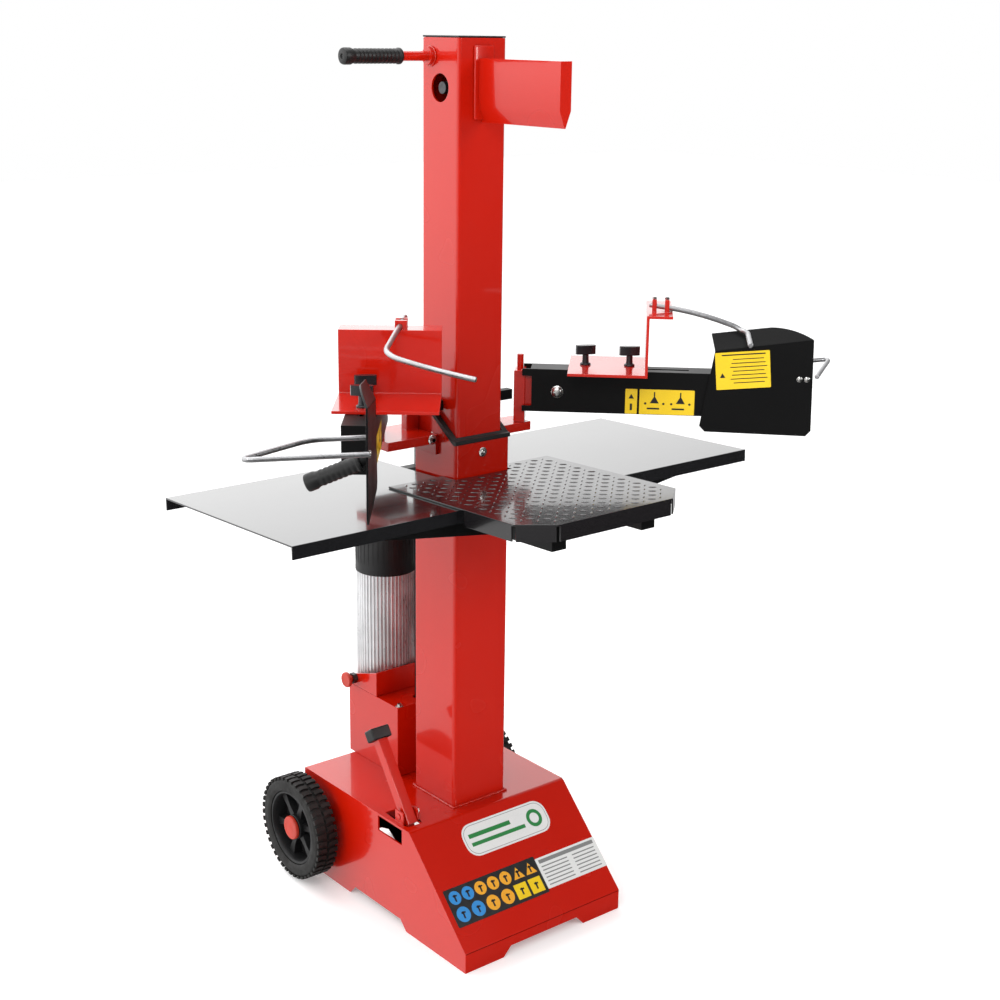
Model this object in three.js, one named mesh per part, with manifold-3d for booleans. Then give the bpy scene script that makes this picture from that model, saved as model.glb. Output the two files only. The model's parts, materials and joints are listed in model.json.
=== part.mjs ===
// Vertical electric log splitter with a telescoping square column, a split table and two swinging log arms.
// Millimetres, +Z up. X = 0 is the middle plane, -Y is the front (the wedge side), Z = 0 is the ground.
// Everything is drawn around the column's axis, then the whole group is moved back by FRAME_SHIFT_Y so that
// the origin lies under the middle of the machine's outline.
import * as THREE from "three";
import { mergeVertices } from "three/addons/utils/BufferGeometryUtils.js";
import Module from "manifold-3d";

const wasm = await Module();
wasm.setup();

// ---------- driving dimensions ----------
const GAP = 0.3; // clearance between touching pieces
const FRAME_SHIFT_Y = 46.43;

const BASE_WIDTH = 362;
const BASE_TOP = 203;
const BASE_FRONT_TOP = -88; // where the flat top folds down into the slanted front
const BASE_FRONT_FOOT = -253;
const BASE_REAR = 254;
const BASE_LIP = 38; // upright strip below the slanted front
const BASE_SHEET = 4;
const FOOT_RISE = 18; // the lower edges are relieved by this much between the feet

const OUTER_TUBE = 120;
const INNER_TUBE = 100;
const TUBE_WALL = 4;
const OUTER_TOP = 886; // front edge of the lower column
const CHEEK_TOP = 929; // its side cheeks rise to this height at the rear
const CHEEK_FOLD_Y = 9; // the rise ends here
const WIPER_HEIGHT = 8;
const COLUMN_TOP = 1561;
const INNER_BOTTOM = 760;

const WEDGE_THICKNESS = 23;
const WEDGE_REACH = 257;
const WEDGE_TOP = 1529;
const WEDGE_BOTTOM = 1427;
const WEDGE_BEVEL = 27;

const CYLINDER_PIN_Z = 1481;
const ACCESS_HOLE_RADIUS = 23;
const BARREL_RADIUS = 30;
const BARREL_BORE = 25;
const PISTON_ROD_RADIUS = 14;

const TABLE_HEIGHT = 831; // wing surface at its front edge
const TABLE_FALL = THREE.MathUtils.degToRad(2.3); // the whole table leans back towards the column
const WING_FRONT = -224;
const WING_REAR = 172;
const WING_OUTER = 493;
const WING_INNER = 66;
const WING_LIP = 22;
const TREAD_HALF_WIDTH = 177;
const TREAD_REAR = -26;
const TREAD_SIDE_END = -358;
const TREAD_FRONT = -405;
const TREAD_FRONT_HALF = 124;
const TREAD_LIP = 25;
const TABLE_SHEET = 3;

const MOTOR_Y = 236;
const VALVE_ROD_Y = 130;
const MOTOR_RADIUS = 57;
const HOUSING_TOP = 345;
const MOTOR_BOTTOM = 349;
const MOTOR_TOP = 576;
const FILLER_Y = 246;
const FILLER_Z = 362;
const COWL_TOP = 672;

const WHEEL_RADIUS = 100;
const WHEEL_WIDTH = 46;
const TYRE_BORE = 72;
const WHEEL_Y = 213;
const AXLE_Z = 108; // the tyres clear the ground until the machine is tipped back
const WHEEL_OUTER_X = 244;
const AXLE_RADIUS = 9;

// Hinge pins of the two arms, how far each arm points forward of sideways, how much longer than the
// right arm it is, and how far its hoop stands out.
const ARM_PLACES = {
  left: { x: 143, y: 65, yaw: THREE.MathUtils.degToRad(51.3), extra: 16, hoopReach: 149.8 },
  right: { x: 124, y: -10, yaw: THREE.MathUtils.degToRad(43.6), extra: 0, hoopReach: 138 },
};
const ARM_TOP = 997;
const ARM_BOTTOM = 920;
const ARM_WIDTH = 50;
const ARM_START = 5;
const ARM_END = 346;
const ARM_WALL = 4;
const PIVOT_U = 68; // tilt bolt, along the arm
const PIVOT_Z = 957;
const CLAW_WIDTH = 168;
const CLAW_LENGTH = 139;
const CLAW_HEIGHT = 109;
const CLAW_FLANGE = 40;
const CLAW_SHEET = 5;
const CLAW_ROD_RADIUS = 4.5;
const HOOP_RADIUS = 4;
const GRIP_RADIUS = 12;
const TRANSPORT_GRIP_LENGTH = 113;
const ARM_GRIP_LENGTH = 86;

const LEVER_X = -154;
const LEVER_Y = -44;
const LEVER_Z = 214;
const LEVER_LEAN = THREE.MathUtils.degToRad(35);

// ---------- finishes ----------
const red = { color: 0xc81c0a, roughness: 0.25, metalness: 0.0 };
const black = { color: 0x17181a, roughness: 0.35, metalness: 0.0 };
const steel = { color: 0xa8a9aa, roughness: 0.35, metalness: 0.9 };
const aluminium = { color: 0xc4c6c8, roughness: 0.3, metalness: 0.9 };
const plastic = { color: 0x1b1c1d, roughness: 0.6, metalness: 0.0 };
const rubber = { color: 0x202122, roughness: 0.85, metalness: 0.0 };
const cream = { color: 0xe8e4d8, roughness: 0.5, metalness: 0.0 };
const green = { color: 0x1e8a3c, roughness: 0.4, metalness: 0.0 };

const splitter = new THREE.Group();
splitter.position.y = FRAME_SHIFT_Y;

// ---------- helpers ----------
function addMesh(parent, name, geometry, look) {
  const mesh = new THREE.Mesh(geometry, new THREE.MeshStandardMaterial(look));
  mesh.name = name;
  parent.add(mesh);
  return mesh;
}

function toSolid(geometry) {
  const plain = geometry.index ? geometry.toNonIndexed() : geometry.clone();
  plain.deleteAttribute("normal");
  plain.deleteAttribute("uv");
  const merged = mergeVertices(plain, 1e-4);
  return new wasm.Manifold(
    new wasm.Mesh({
      numProp: 3,
      vertProperties: Float32Array.from(merged.attributes.position.array),
      triVerts: Uint32Array.from(merged.index.array),
    }),
  );
}

function toGeometry(solid) {
  const mesh = solid.getMesh();
  const geometry = new THREE.BufferGeometry();
  geometry.setAttribute("position", new THREE.BufferAttribute(mesh.vertProperties, 3));
  geometry.setIndex(new THREE.BufferAttribute(mesh.triVerts, 1));
  return geometry;
}

const joined = (...geometries) => toGeometry(geometries.map(toSolid).reduce((a, b) => a.add(b)));
const carved = (base, ...tools) => toGeometry(tools.map(toSolid).reduce((a, b) => a.subtract(b), toSolid(base)));

// A box from its lowest to its highest corner.
function boxBetween([x0, y0, z0], [x1, y1, z1]) {
  const box = new THREE.BoxGeometry(x1 - x0, y1 - y0, z1 - z0);
  return box.translate((x0 + x1) / 2, (y0 + y1) / 2, (z0 + z1) / 2);
}

function outline(points) {
  return new THREE.Shape(points.map(([a, b]) => new THREE.Vector2(a, b)));
}

// Extrudes an XY outline upwards from z0 to z1.
function prismZ(shape, z0, z1) {
  const prism = new THREE.ExtrudeGeometry(shape, { depth: z1 - z0, bevelEnabled: false, curveSegments: 8 });
  return prism.translate(0, 0, z0);
}

// Extrudes an outline drawn in (Y, Z) along X from x0 to x1.
function prismX(shape, x0, x1) {
  const prism = new THREE.ExtrudeGeometry(shape, { depth: x1 - x0, bevelEnabled: false, curveSegments: 8 });
  return prism.rotateX(Math.PI / 2).rotateZ(Math.PI / 2).translate(x0, 0, 0);
}

// Extrudes an outline drawn in (X, Z) along Y from y0 to y1.
function prismY(shape, y0, y1) {
  const prism = new THREE.ExtrudeGeometry(shape, { depth: y1 - y0, bevelEnabled: false, curveSegments: 8 });
  return prism.rotateX(Math.PI / 2).translate(0, y1, 0);
}

const rodX = (r, x0, x1, y, z, sides = 24) =>
  new THREE.CylinderGeometry(r, r, x1 - x0, sides).rotateZ(Math.PI / 2).translate((x0 + x1) / 2, y, z);
const rodY = (r, y0, y1, x, z, sides = 24) =>
  new THREE.CylinderGeometry(r, r, y1 - y0, sides).translate(x, (y0 + y1) / 2, z);
const rodZ = (r, z0, z1, x, y, sides = 24) =>
  new THREE.CylinderGeometry(r, r, z1 - z0, sides).rotateX(Math.PI / 2).translate(x, y, (z0 + z1) / 2);

// A solid of revolution about Z; the profile is a list of (radius, z).
function turned(profile, sides = 32) {
  const lathe = new THREE.LatheGeometry(
    profile.map(([r, z]) => new THREE.Vector2(r, z)),
    sides,
  );
  return lathe.rotateX(Math.PI / 2);
}

// A round bar along straight legs with rounded bends.
function bentRod(radius, corners, bend, sides = 5) {
  const points = corners.map((c) => new THREE.Vector3(...c));
  const path = new THREE.CurvePath();
  let from = points[0];
  for (let i = 1; i < points.length - 1; i += 1) {
    const before = points[i].clone().lerp(points[i - 1], bend / points[i].distanceTo(points[i - 1]));
    const after = points[i].clone().lerp(points[i + 1], bend / points[i].distanceTo(points[i + 1]));
    path.add(new THREE.LineCurve3(from, before));
    path.add(new THREE.QuadraticBezierCurve3(before, points[i], after));
    from = after;
  }
  path.add(new THREE.LineCurve3(from, points[points.length - 1]));
  const ring = new THREE.Shape();
  ring.absarc(0, 0, radius, 0, Math.PI * 2, false);
  const steps = Math.max(2, Math.round(path.getLength() / (radius * 4)));
  return new THREE.ExtrudeGeometry(ring, { extrudePath: path, steps, curveSegments: sides, bevelEnabled: false });
}

// A straight round bar between two points.
function barBetween(radius, start, end, sides = 20) {
  const a = new THREE.Vector3(...start);
  const b = new THREE.Vector3(...end);
  const bar = new THREE.CylinderGeometry(radius, radius, a.distanceTo(b), sides);
  const turn = new THREE.Quaternion().setFromUnitVectors(new THREE.Vector3(0, 1, 0), b.clone().sub(a).normalize());
  return bar.applyQuaternion(turn).translate((a.x + b.x) / 2, (a.y + b.y) / 2, (a.z + b.z) / 2);
}

// ---------- base ----------
function baseSection(inset, floor) {
  const slope = (BASE_TOP - BASE_LIP) / (BASE_FRONT_TOP - BASE_FRONT_FOOT);
  const slopeShift = inset * (Math.hypot(1, slope) - 1) / slope;
  return outline([
    [BASE_FRONT_FOOT + inset, floor],
    [BASE_REAR - inset, floor],
    [BASE_REAR - inset, BASE_TOP - inset],
    [BASE_FRONT_TOP + slopeShift, BASE_TOP - inset],
    [BASE_FRONT_FOOT + inset, BASE_LIP - slopeShift],
  ]);
}

// The relief between two feet: a low trapezium cut through the wall.
function footRelief(from, to) {
  return outline([
    [from, -1],
    [to, -1],
    [to - FOOT_RISE, FOOT_RISE],
    [from + FOOT_RISE, FOOT_RISE],
  ]);
}

function buildBase() {
  const half = BASE_WIDTH / 2;
  const shell = prismX(baseSection(0, 0), -half, half);
  const hollow = prismX(baseSection(BASE_SHEET, -1), -half + BASE_SHEET, half - BASE_SHEET);
  const sideRelief = prismX(footRelief(-78, 103), -half - 1, half + 1);
  const frontRelief = prismY(footRelief(-96, 94), BASE_FRONT_FOOT - 1, BASE_FRONT_FOOT + 20);
  const rearRelief = prismY(footRelief(-110, 110), BASE_REAR - 20, BASE_REAR + 1);
  const sideWindow = boxBetween([-half - 1, -65, 169], [-half + BASE_SHEET + 1, 8, 198]);
  const topSlot = boxBetween([LEVER_X - 13, -70, BASE_TOP - 10], [LEVER_X + 13, 2, BASE_TOP + 1]);
  const axleHoles = rodX(AXLE_RADIUS + GAP, -half - 1, half + 1, WHEEL_Y, AXLE_Z);
  const empty = carved(shell, hollow, sideRelief, frontRelief, rearRelief, sideWindow, topSlot, axleHoles);
  const lugs = [-1, 1].map((side) => {
    const inner = LEVER_X + side * 13.5;
    const outer = LEVER_X + side * 17.5;
    return boxBetween(
      [Math.min(inner, outer), LEVER_Y - 12, BASE_TOP - 2],
      [Math.max(inner, outer), LEVER_Y + 12, LEVER_Z + 10],
    );
  });
  return carved(joined(empty, ...lugs), rodX(5 + GAP, LEVER_X - 30, LEVER_X + 30, LEVER_Y, LEVER_Z, 16));
}
addMesh(splitter, "base_housing", buildBase(), red);

addMesh(
  splitter,
  "axle",
  rodX(AXLE_RADIUS, -WHEEL_OUTER_X + 8, WHEEL_OUTER_X - 8, WHEEL_Y, AXLE_Z),
  steel,
);

// ---------- wheels ----------
const tyreProfile = [
  [TYRE_BORE, -WHEEL_WIDTH / 2 + 3],
  [WHEEL_RADIUS - 12, -WHEEL_WIDTH / 2],
  [WHEEL_RADIUS - 3, -WHEEL_WIDTH / 2 + 3],
  [WHEEL_RADIUS, -WHEEL_WIDTH / 2 + 9],
  [WHEEL_RADIUS, WHEEL_WIDTH / 2 - 9],
  [WHEEL_RADIUS - 3, WHEEL_WIDTH / 2 - 3],
  [WHEEL_RADIUS - 12, WHEEL_WIDTH / 2],
  [TYRE_BORE, WHEEL_WIDTH / 2 - 3],
  [TYRE_BORE, -WHEEL_WIDTH / 2 + 3],
];
const rimOuter = TYRE_BORE - GAP;
const hubRadius = 24;
const hubBore = AXLE_RADIUS + GAP;

function rimGeometry() {
  const half = WHEEL_WIDTH / 2;
  const hoop = turned([
    [rimOuter - 6, -half + 4],
    [rimOuter, -half + 4],
    [rimOuter, half - 4],
    [rimOuter - 6, half - 4],
    [rimOuter - 6, -half + 4],
  ], 28);
  const hub = turned([
    [hubBore, -half + 2],
    [hubRadius, -half + 2],
    [hubRadius, half - 8],
    [hubBore, half - 8],
    [hubBore, -half + 2],
  ], 20);
  const spokes = [];
  for (let i = 0; i < 5; i += 1) {
    const spoke = boxBetween([hubRadius - 2, -8, -10], [rimOuter - 3, 8, 6]);
    spokes.push(spoke.rotateZ((i / 5) * Math.PI * 2));
  }
  return joined(hoop, hub, ...spokes);
}

const hubCapProfile = [
  [0, WHEEL_WIDTH / 2 - 7.7],
  [hubRadius - 1, WHEEL_WIDTH / 2 - 7.7],
  [hubRadius - 1, WHEEL_WIDTH / 2 - 4],
  [hubRadius - 4, WHEEL_WIDTH / 2 - 2],
  [0, WHEEL_WIDTH / 2 - 1],
];

for (const [label, side] of [["left", -1], ["right", 1]]) {
  const wheel = new THREE.Group();
  wheel.position.set(side * (WHEEL_OUTER_X - WHEEL_WIDTH / 2), WHEEL_Y, AXLE_Z);
  wheel.rotation.set(0, (side * Math.PI) / 2, 0);
  splitter.add(wheel);
  addMesh(wheel, `tyre_${label}`, turned(tyreProfile, 36), rubber);
  addMesh(wheel, `rim_${label}`, rimGeometry(), plastic);
  addMesh(wheel, `hub_cap_${label}`, turned(hubCapProfile, 24), red);
}

// ---------- lower column ----------
const outerHalf = OUTER_TUBE / 2;
const innerHalf = INNER_TUBE / 2;

// Side view of the lower column: level at the front, then rising along the cheeks.
function cheekSection(bottom, lift) {
  return outline([
    [-outerHalf, bottom],
    [outerHalf, bottom],
    [outerHalf, CHEEK_TOP + lift],
    [CHEEK_FOLD_Y, CHEEK_TOP + lift],
    [-outerHalf + 6, OUTER_TOP + lift],
    [-outerHalf, OUTER_TOP + lift],
  ]);
}

function wiperSection() {
  return outline([
    [-outerHalf - 1, OUTER_TOP + GAP],
    [-outerHalf + 6, OUTER_TOP + GAP],
    [CHEEK_FOLD_Y, CHEEK_TOP + GAP],
    [outerHalf, CHEEK_TOP + GAP],
    [outerHalf, CHEEK_TOP + WIPER_HEIGHT],
    [CHEEK_FOLD_Y - 2, CHEEK_TOP + WIPER_HEIGHT],
    [-outerHalf + 4, OUTER_TOP + WIPER_HEIGHT],
    [-outerHalf - 1, OUTER_TOP + WIPER_HEIGHT],
  ]);
}

const tubeHollow = (half, z0, z1) => boxBetween([-half, -half, z0], [half, half, z1]);

addMesh(
  splitter,
  "column_outer",
  carved(
    prismX(cheekSection(BASE_TOP + GAP, 0), -outerHalf, outerHalf),
    tubeHollow(outerHalf - TUBE_WALL, BASE_TOP - 1, 1000),
  ),
  red,
);
addMesh(
  splitter,
  "column_wiper",
  carved(prismX(wiperSection(), -outerHalf - 1, outerHalf + 1), tubeHollow(innerHalf + 0.6, 800, 1000)),
  rubber,
);
addMesh(
  splitter,
  "guide_ring",
  carved(
    boxBetween([-outerHalf + TUBE_WALL + GAP, -outerHalf + TUBE_WALL + GAP, 790],
      [outerHalf - TUBE_WALL - GAP, outerHalf - TUBE_WALL - GAP, 880]),
    tubeHollow(innerHalf + GAP, 700, 1000),
  ),
  cream,
);

// ---------- hydraulic cylinder: the rod stands on the base, the barrel hangs from the moving column ----------
addMesh(
  splitter,
  "piston_rod",
  joined(
    boxBetween([-54, -54, BASE_TOP + GAP], [54, 54, BASE_TOP + 14]),
    rodZ(PISTON_ROD_RADIUS, BASE_TOP + 10, 838, 0, 0),
    rodZ(BARREL_BORE - GAP, 812, 842, 0, 0, 32),
  ),
  steel,
);

// ---------- moving column ----------
const mast = new THREE.Group();
splitter.add(mast);
addMesh(
  mast,
  "column_inner",
  carved(
    boxBetween([-innerHalf, -innerHalf, INNER_BOTTOM], [innerHalf, innerHalf, COLUMN_TOP]),
    tubeHollow(innerHalf - TUBE_WALL, INNER_BOTTOM - 1, COLUMN_TOP + 1),
    rodX(ACCESS_HOLE_RADIUS, -innerHalf - 1, -innerHalf + TUBE_WALL + 1, 0, CYLINDER_PIN_Z, 40),
  ),
  red,
);
addMesh(
  mast,
  "column_cap",
  joined(
    boxBetween([-innerHalf + 5, -innerHalf + 5, COLUMN_TOP - 14], [innerHalf - 5, innerHalf - 5, COLUMN_TOP + 1]),
    boxBetween([-innerHalf + 1, -innerHalf + 1, COLUMN_TOP + GAP], [innerHalf - 1, innerHalf - 1, COLUMN_TOP + 3]),
  ),
  plastic,
);
const wedgeSection = outline([
  [-WEDGE_THICKNESS / 2, WEDGE_TOP],
  [-WEDGE_THICKNESS / 2, WEDGE_BOTTOM + WEDGE_BEVEL],
  [-1, WEDGE_BOTTOM],
  [1, WEDGE_BOTTOM],
  [WEDGE_THICKNESS / 2, WEDGE_BOTTOM + WEDGE_BEVEL],
  [WEDGE_THICKNESS / 2, WEDGE_TOP],
]);
addMesh(
  mast,
  "wedge",
  joined(
    prismY(wedgeSection, -WEDGE_REACH, -innerHalf - GAP),
    boxBetween([-20, -innerHalf - 6, WEDGE_BOTTOM + 4], [20, -innerHalf - GAP, WEDGE_TOP + 10]),
  ),
  red,
);
addMesh(
  mast,
  "cylinder_barrel",
  carved(
    joined(
      rodZ(BARREL_RADIUS, 780, 1440, 0, 0, 32),
      boxBetween([-16, -20, 1430], [16, 20, CYLINDER_PIN_Z + 20]),
    ),
    rodZ(BARREL_BORE, 792, 1425, 0, 0, 32),
    rodZ(PISTON_ROD_RADIUS + GAP, 779, 800, 0, 0),
    rodX(10 + GAP, -20, 20, 0, CYLINDER_PIN_Z),
  ),
  steel,
);
addMesh(
  mast,
  "cylinder_pin",
  rodX(10, -innerHalf + TUBE_WALL + GAP, innerHalf - TUBE_WALL - GAP, 0, CYLINDER_PIN_Z),
  steel,
);

const handleY = 25;
const handleZ = 1531;
const gripInner = -113;
addMesh(
  mast,
  "transport_handle",
  joined(
    rodX(8, gripInner - TRANSPORT_GRIP_LENGTH + 8, -innerHalf - GAP - 2, handleY, handleZ),
    rodX(14, -innerHalf - 9, -innerHalf - GAP, handleY, handleZ),
  ),
  red,
);

// A sleeve grip along Z, open where the handle rod enters and closed by a fatter end.
function gripGeometry(bore, length) {
  return turned([
    [bore, 0],
    [GRIP_RADIUS, 0],
    [GRIP_RADIUS, length - 18],
    [GRIP_RADIUS + 1.5, length - 14],
    [GRIP_RADIUS + 1, length - 1],
    [GRIP_RADIUS - 4, length],
    [0, length],
    [0, length - 6],
    [bore, length - 6],
    [bore, 0],
  ], 20);
}
const transportGrip = addMesh(mast, "transport_grip", gripGeometry(8 + GAP, TRANSPORT_GRIP_LENGTH), rubber);
transportGrip.position.set(gripInner, handleY, handleZ);
transportGrip.rotation.set(0, -Math.PI / 2, 0);

// ---------- motor, pump and switch ----------
function motorOutline() {
  const shape = new THREE.Shape();
  const fins = 28;
  const root = MOTOR_RADIUS - 8;
  for (let i = 0; i < fins; i += 1) {
    const middle = (i / fins) * Math.PI * 2;
    const step = (Math.PI * 2) / fins;
    for (const [offset, r] of [[-0.42, root], [-0.14, MOTOR_RADIUS], [0.14, MOTOR_RADIUS], [0.42, root]]) {
      const angle = middle + offset * step;
      const point = [Math.cos(angle) * r, Math.sin(angle) * r];
      if (shape.curves.length === 0 && shape.currentPoint.length() === 0) shape.moveTo(...point);
      else shape.lineTo(...point);
    }
  }
  shape.closePath();
  return shape;
}

addMesh(
  splitter,
  "motor_body",
  carved(
    prismZ(motorOutline(), MOTOR_BOTTOM + GAP, MOTOR_TOP).translate(0, MOTOR_Y, 0),
    rodZ(42, MOTOR_BOTTOM + 10, MOTOR_TOP + 1, 0, MOTOR_Y, 28),
    rodZ(9, MOTOR_BOTTOM - 1, MOTOR_BOTTOM + 20, 0, MOTOR_Y, 16),
  ),
  aluminium,
);
const cowl = addMesh(
  splitter,
  "motor_cowl",
  turned([
    [MOTOR_RADIUS - 1, MOTOR_TOP + GAP],
    [MOTOR_RADIUS + 1, MOTOR_TOP + GAP],
    [MOTOR_RADIUS + 1, COWL_TOP - 10],
    [MOTOR_RADIUS - 8, COWL_TOP],
    [0, COWL_TOP],
    [0, COWL_TOP - 3],
    [MOTOR_RADIUS - 9, COWL_TOP - 3],
    [MOTOR_RADIUS - 1, COWL_TOP - 11],
    [MOTOR_RADIUS - 1, MOTOR_TOP + GAP],
  ], 40),
  plastic,
);
cowl.position.set(0, MOTOR_Y, 0);

const rotorFloor = MOTOR_BOTTOM + 20;
function rotorGeometry() {
  const shaft = rodZ(8, HOUSING_TOP + 1, COWL_TOP - 16, 0, 0, 16);
  const core = rodZ(37, rotorFloor, MOTOR_TOP - 30, 0, 0, 24);
  const fanDisc = rodZ(44, MOTOR_TOP + 20, MOTOR_TOP + 24, 0, 0, 24);
  const blades = [];
  for (let i = 0; i < 6; i += 1) {
    blades.push(boxBetween([6, -1.5, MOTOR_TOP + 22], [44, 1.5, MOTOR_TOP + 62]).rotateZ((i / 6) * Math.PI * 2));
  }
  return joined(shaft, core, fanDisc, ...blades);
}
addMesh(splitter, "motor_rotor", rotorGeometry(), steel).position.set(0, MOTOR_Y, 0);

// Motor seat: a floor on the pump housing with a front flap and two side flaps that fall to the rear.
const housingHalf = 66;
const seatSheet = 4;
const seatFront = 175;
const seatRear = 292;
const seatFlapTop = 393;
const seatFlapRear = 262;
const seatFlapRearTop = 365;
const seatSideFlap = outline([
  [seatFront, HOUSING_TOP],
  [seatFlapRear, HOUSING_TOP],
  [seatFlapRear, seatFlapRearTop],
  [seatFront, seatFlapTop],
]);
addMesh(
  splitter,
  "motor_seat",
  carved(
    joined(
      boxBetween([-housingHalf, seatFront, HOUSING_TOP], [housingHalf, seatRear, HOUSING_TOP + seatSheet - GAP]),
      boxBetween([-housingHalf, seatFront, HOUSING_TOP], [housingHalf, seatFront + 3, seatFlapTop]),
      prismX(seatSideFlap, -housingHalf, -housingHalf + seatSheet),
      prismX(seatSideFlap, housingHalf - seatSheet, housingHalf),
    ),
    rodZ(10, HOUSING_TOP - 1, HOUSING_TOP + seatSheet + 1, 0, MOTOR_Y, 16),
  ),
  red,
);
const housingFront = 106;
const housingRear = 268;
addMesh(
  splitter,
  "pump_housing",
  carved(
    boxBetween([-housingHalf, housingFront, BASE_TOP + GAP], [housingHalf, housingRear, HOUSING_TOP - GAP]),
    boxBetween([-housingHalf + 3, housingFront + 3, BASE_TOP - 1], [housingHalf - 3, housingRear + 1, HOUSING_TOP - 4]),
    rodZ(10, HOUSING_TOP - 6, HOUSING_TOP + 1, 0, VALVE_ROD_Y, 16),
  ),
  red,
);
addMesh(
  splitter,
  "pump_block",
  carved(
    joined(
      boxBetween([-45, 178, BASE_TOP + GAP], [45, 262, 330]),
      boxBetween([-30, 112, BASE_TOP + GAP], [30, 180, 290]),
    ),
    rodZ(7 + GAP, 240, 300, 0, VALVE_ROD_Y, 16),
  ),
  aluminium,
);
addMesh(
  splitter,
  "filler_cap",
  joined(
    rodX(11, -housingHalf - 10, -housingHalf - GAP, FILLER_Y, FILLER_Z, 6),
    rodX(7, -housingHalf - 18, -housingHalf - 9, FILLER_Y, FILLER_Z, 16),
    rodX(15, -housingHalf - 24, -housingHalf - 17, FILLER_Y, FILLER_Z, 28),
  ),
  red,
);

const switchFloor = 448;
const switchTop = 566;
const switchLeft = MOTOR_RADIUS + 4;
addMesh(
  splitter,
  "switch_box",
  carved(
    joined(
      boxBetween([switchLeft, 178, switchFloor], [switchLeft + 62, 262, switchTop]),
      boxBetween([MOTOR_RADIUS - 5, 205, switchFloor + 30], [switchLeft + 1, 239, switchTop - 30]),
    ),
    boxBetween([switchLeft + 4, 182, switchFloor + 4], [switchLeft + 58, 258, switchTop - 4]),
    rodZ(8.5, switchTop - 5, switchTop + 1, switchLeft + 30, 202),
    rodZ(8.5, switchTop - 5, switchTop + 1, switchLeft + 30, 238),
    rodZ(MOTOR_RADIUS + 5, switchFloor, switchTop, 0, MOTOR_Y, 48),
  ),
  plastic,
);
for (const [name, y, look] of [["start_button", 202, green], ["stop_button", 238, red]]) {
  addMesh(splitter, name, rodZ(8, switchTop - 12, switchTop + 6, switchLeft + 30, y, 20), look);
}
const inletRadius = 17;
addMesh(
  splitter,
  "power_inlet",
  carved(
    rodZ(inletRadius, switchFloor - 44, switchFloor - GAP, switchLeft + 30, 220, 28),
    rodZ(inletRadius - 3, switchFloor - 45, switchFloor - 14, switchLeft + 30, 220, 28),
  ),
  plastic,
);

// ---------- table ----------
const table = new THREE.Group();
table.position.set(0, WING_FRONT, TABLE_HEIGHT);
table.rotation.set(-TABLE_FALL, 0, 0);
splitter.add(table);

// Inside this group y runs back from the wings' front edge and z = 0 is the wings' upper face.
const wingDepth = WING_REAR - WING_FRONT;
const columnClear = outerHalf + 3;
for (const [label, side] of [["left", -1], ["right", 1]]) {
  const low = Math.min(side * WING_INNER, side * WING_OUTER);
  const high = Math.max(side * WING_INNER, side * WING_OUTER);
  addMesh(
    table,
    `wing_${label}`,
    joined(
      boxBetween([low, 0, -TABLE_SHEET], [high, wingDepth, 0]),
      boxBetween([low, 0, -WING_LIP], [high, TABLE_SHEET, -1]),
      boxBetween([low, wingDepth - TABLE_SHEET, -WING_LIP], [high, wingDepth, -1]),
    ),
    black,
  );
}

const sideEnd = TREAD_SIDE_END - WING_FRONT;
const frontEnd = TREAD_FRONT - WING_FRONT;
const rearEnd = TREAD_REAR - WING_FRONT;
const notchEnd = -outerHalf - 4 - WING_FRONT;
const treadOutline = outline([
  [-TREAD_HALF_WIDTH, rearEnd],
  [-columnClear, rearEnd],
  [-columnClear, notchEnd],
  [columnClear, notchEnd],
  [columnClear, rearEnd],
  [TREAD_HALF_WIDTH, rearEnd],
  [TREAD_HALF_WIDTH, sideEnd],
  [TREAD_FRONT_HALF, frontEnd],
  [-TREAD_FRONT_HALF, frontEnd],
  [-TREAD_HALF_WIDTH, sideEnd],
]);
// An upright strip below an edge of the tread plate, inset from both ends of that edge.
function lipAlong([x0, y0], [x1, y1], inset) {
  const length = Math.hypot(x1 - x0, y1 - y0);
  const strip = boxBetween([inset, 0, -TREAD_LIP], [length - inset, TABLE_SHEET, TABLE_SHEET - 1]);
  return strip.rotateZ(Math.atan2(y1 - y0, x1 - x0)).translate(x0, y0, 0);
}
const lipStart = -6; // the side lips start just ahead of the wings
addMesh(
  table,
  "tread_plate",
  joined(
    prismZ(treadOutline, GAP, TABLE_SHEET + GAP),
    lipAlong([TREAD_HALF_WIDTH, sideEnd], [TREAD_HALF_WIDTH, lipStart], 4),
    lipAlong([TREAD_FRONT_HALF, frontEnd], [TREAD_HALF_WIDTH, sideEnd], 4),
    lipAlong([-TREAD_FRONT_HALF, frontEnd], [TREAD_FRONT_HALF, frontEnd], 4),
    lipAlong([-TREAD_HALF_WIDTH, sideEnd], [-TREAD_FRONT_HALF, frontEnd], 4),
    lipAlong([-TREAD_HALF_WIDTH, lipStart], [-TREAD_HALF_WIDTH, sideEnd], 4),
  ),
  black,
);

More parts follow.
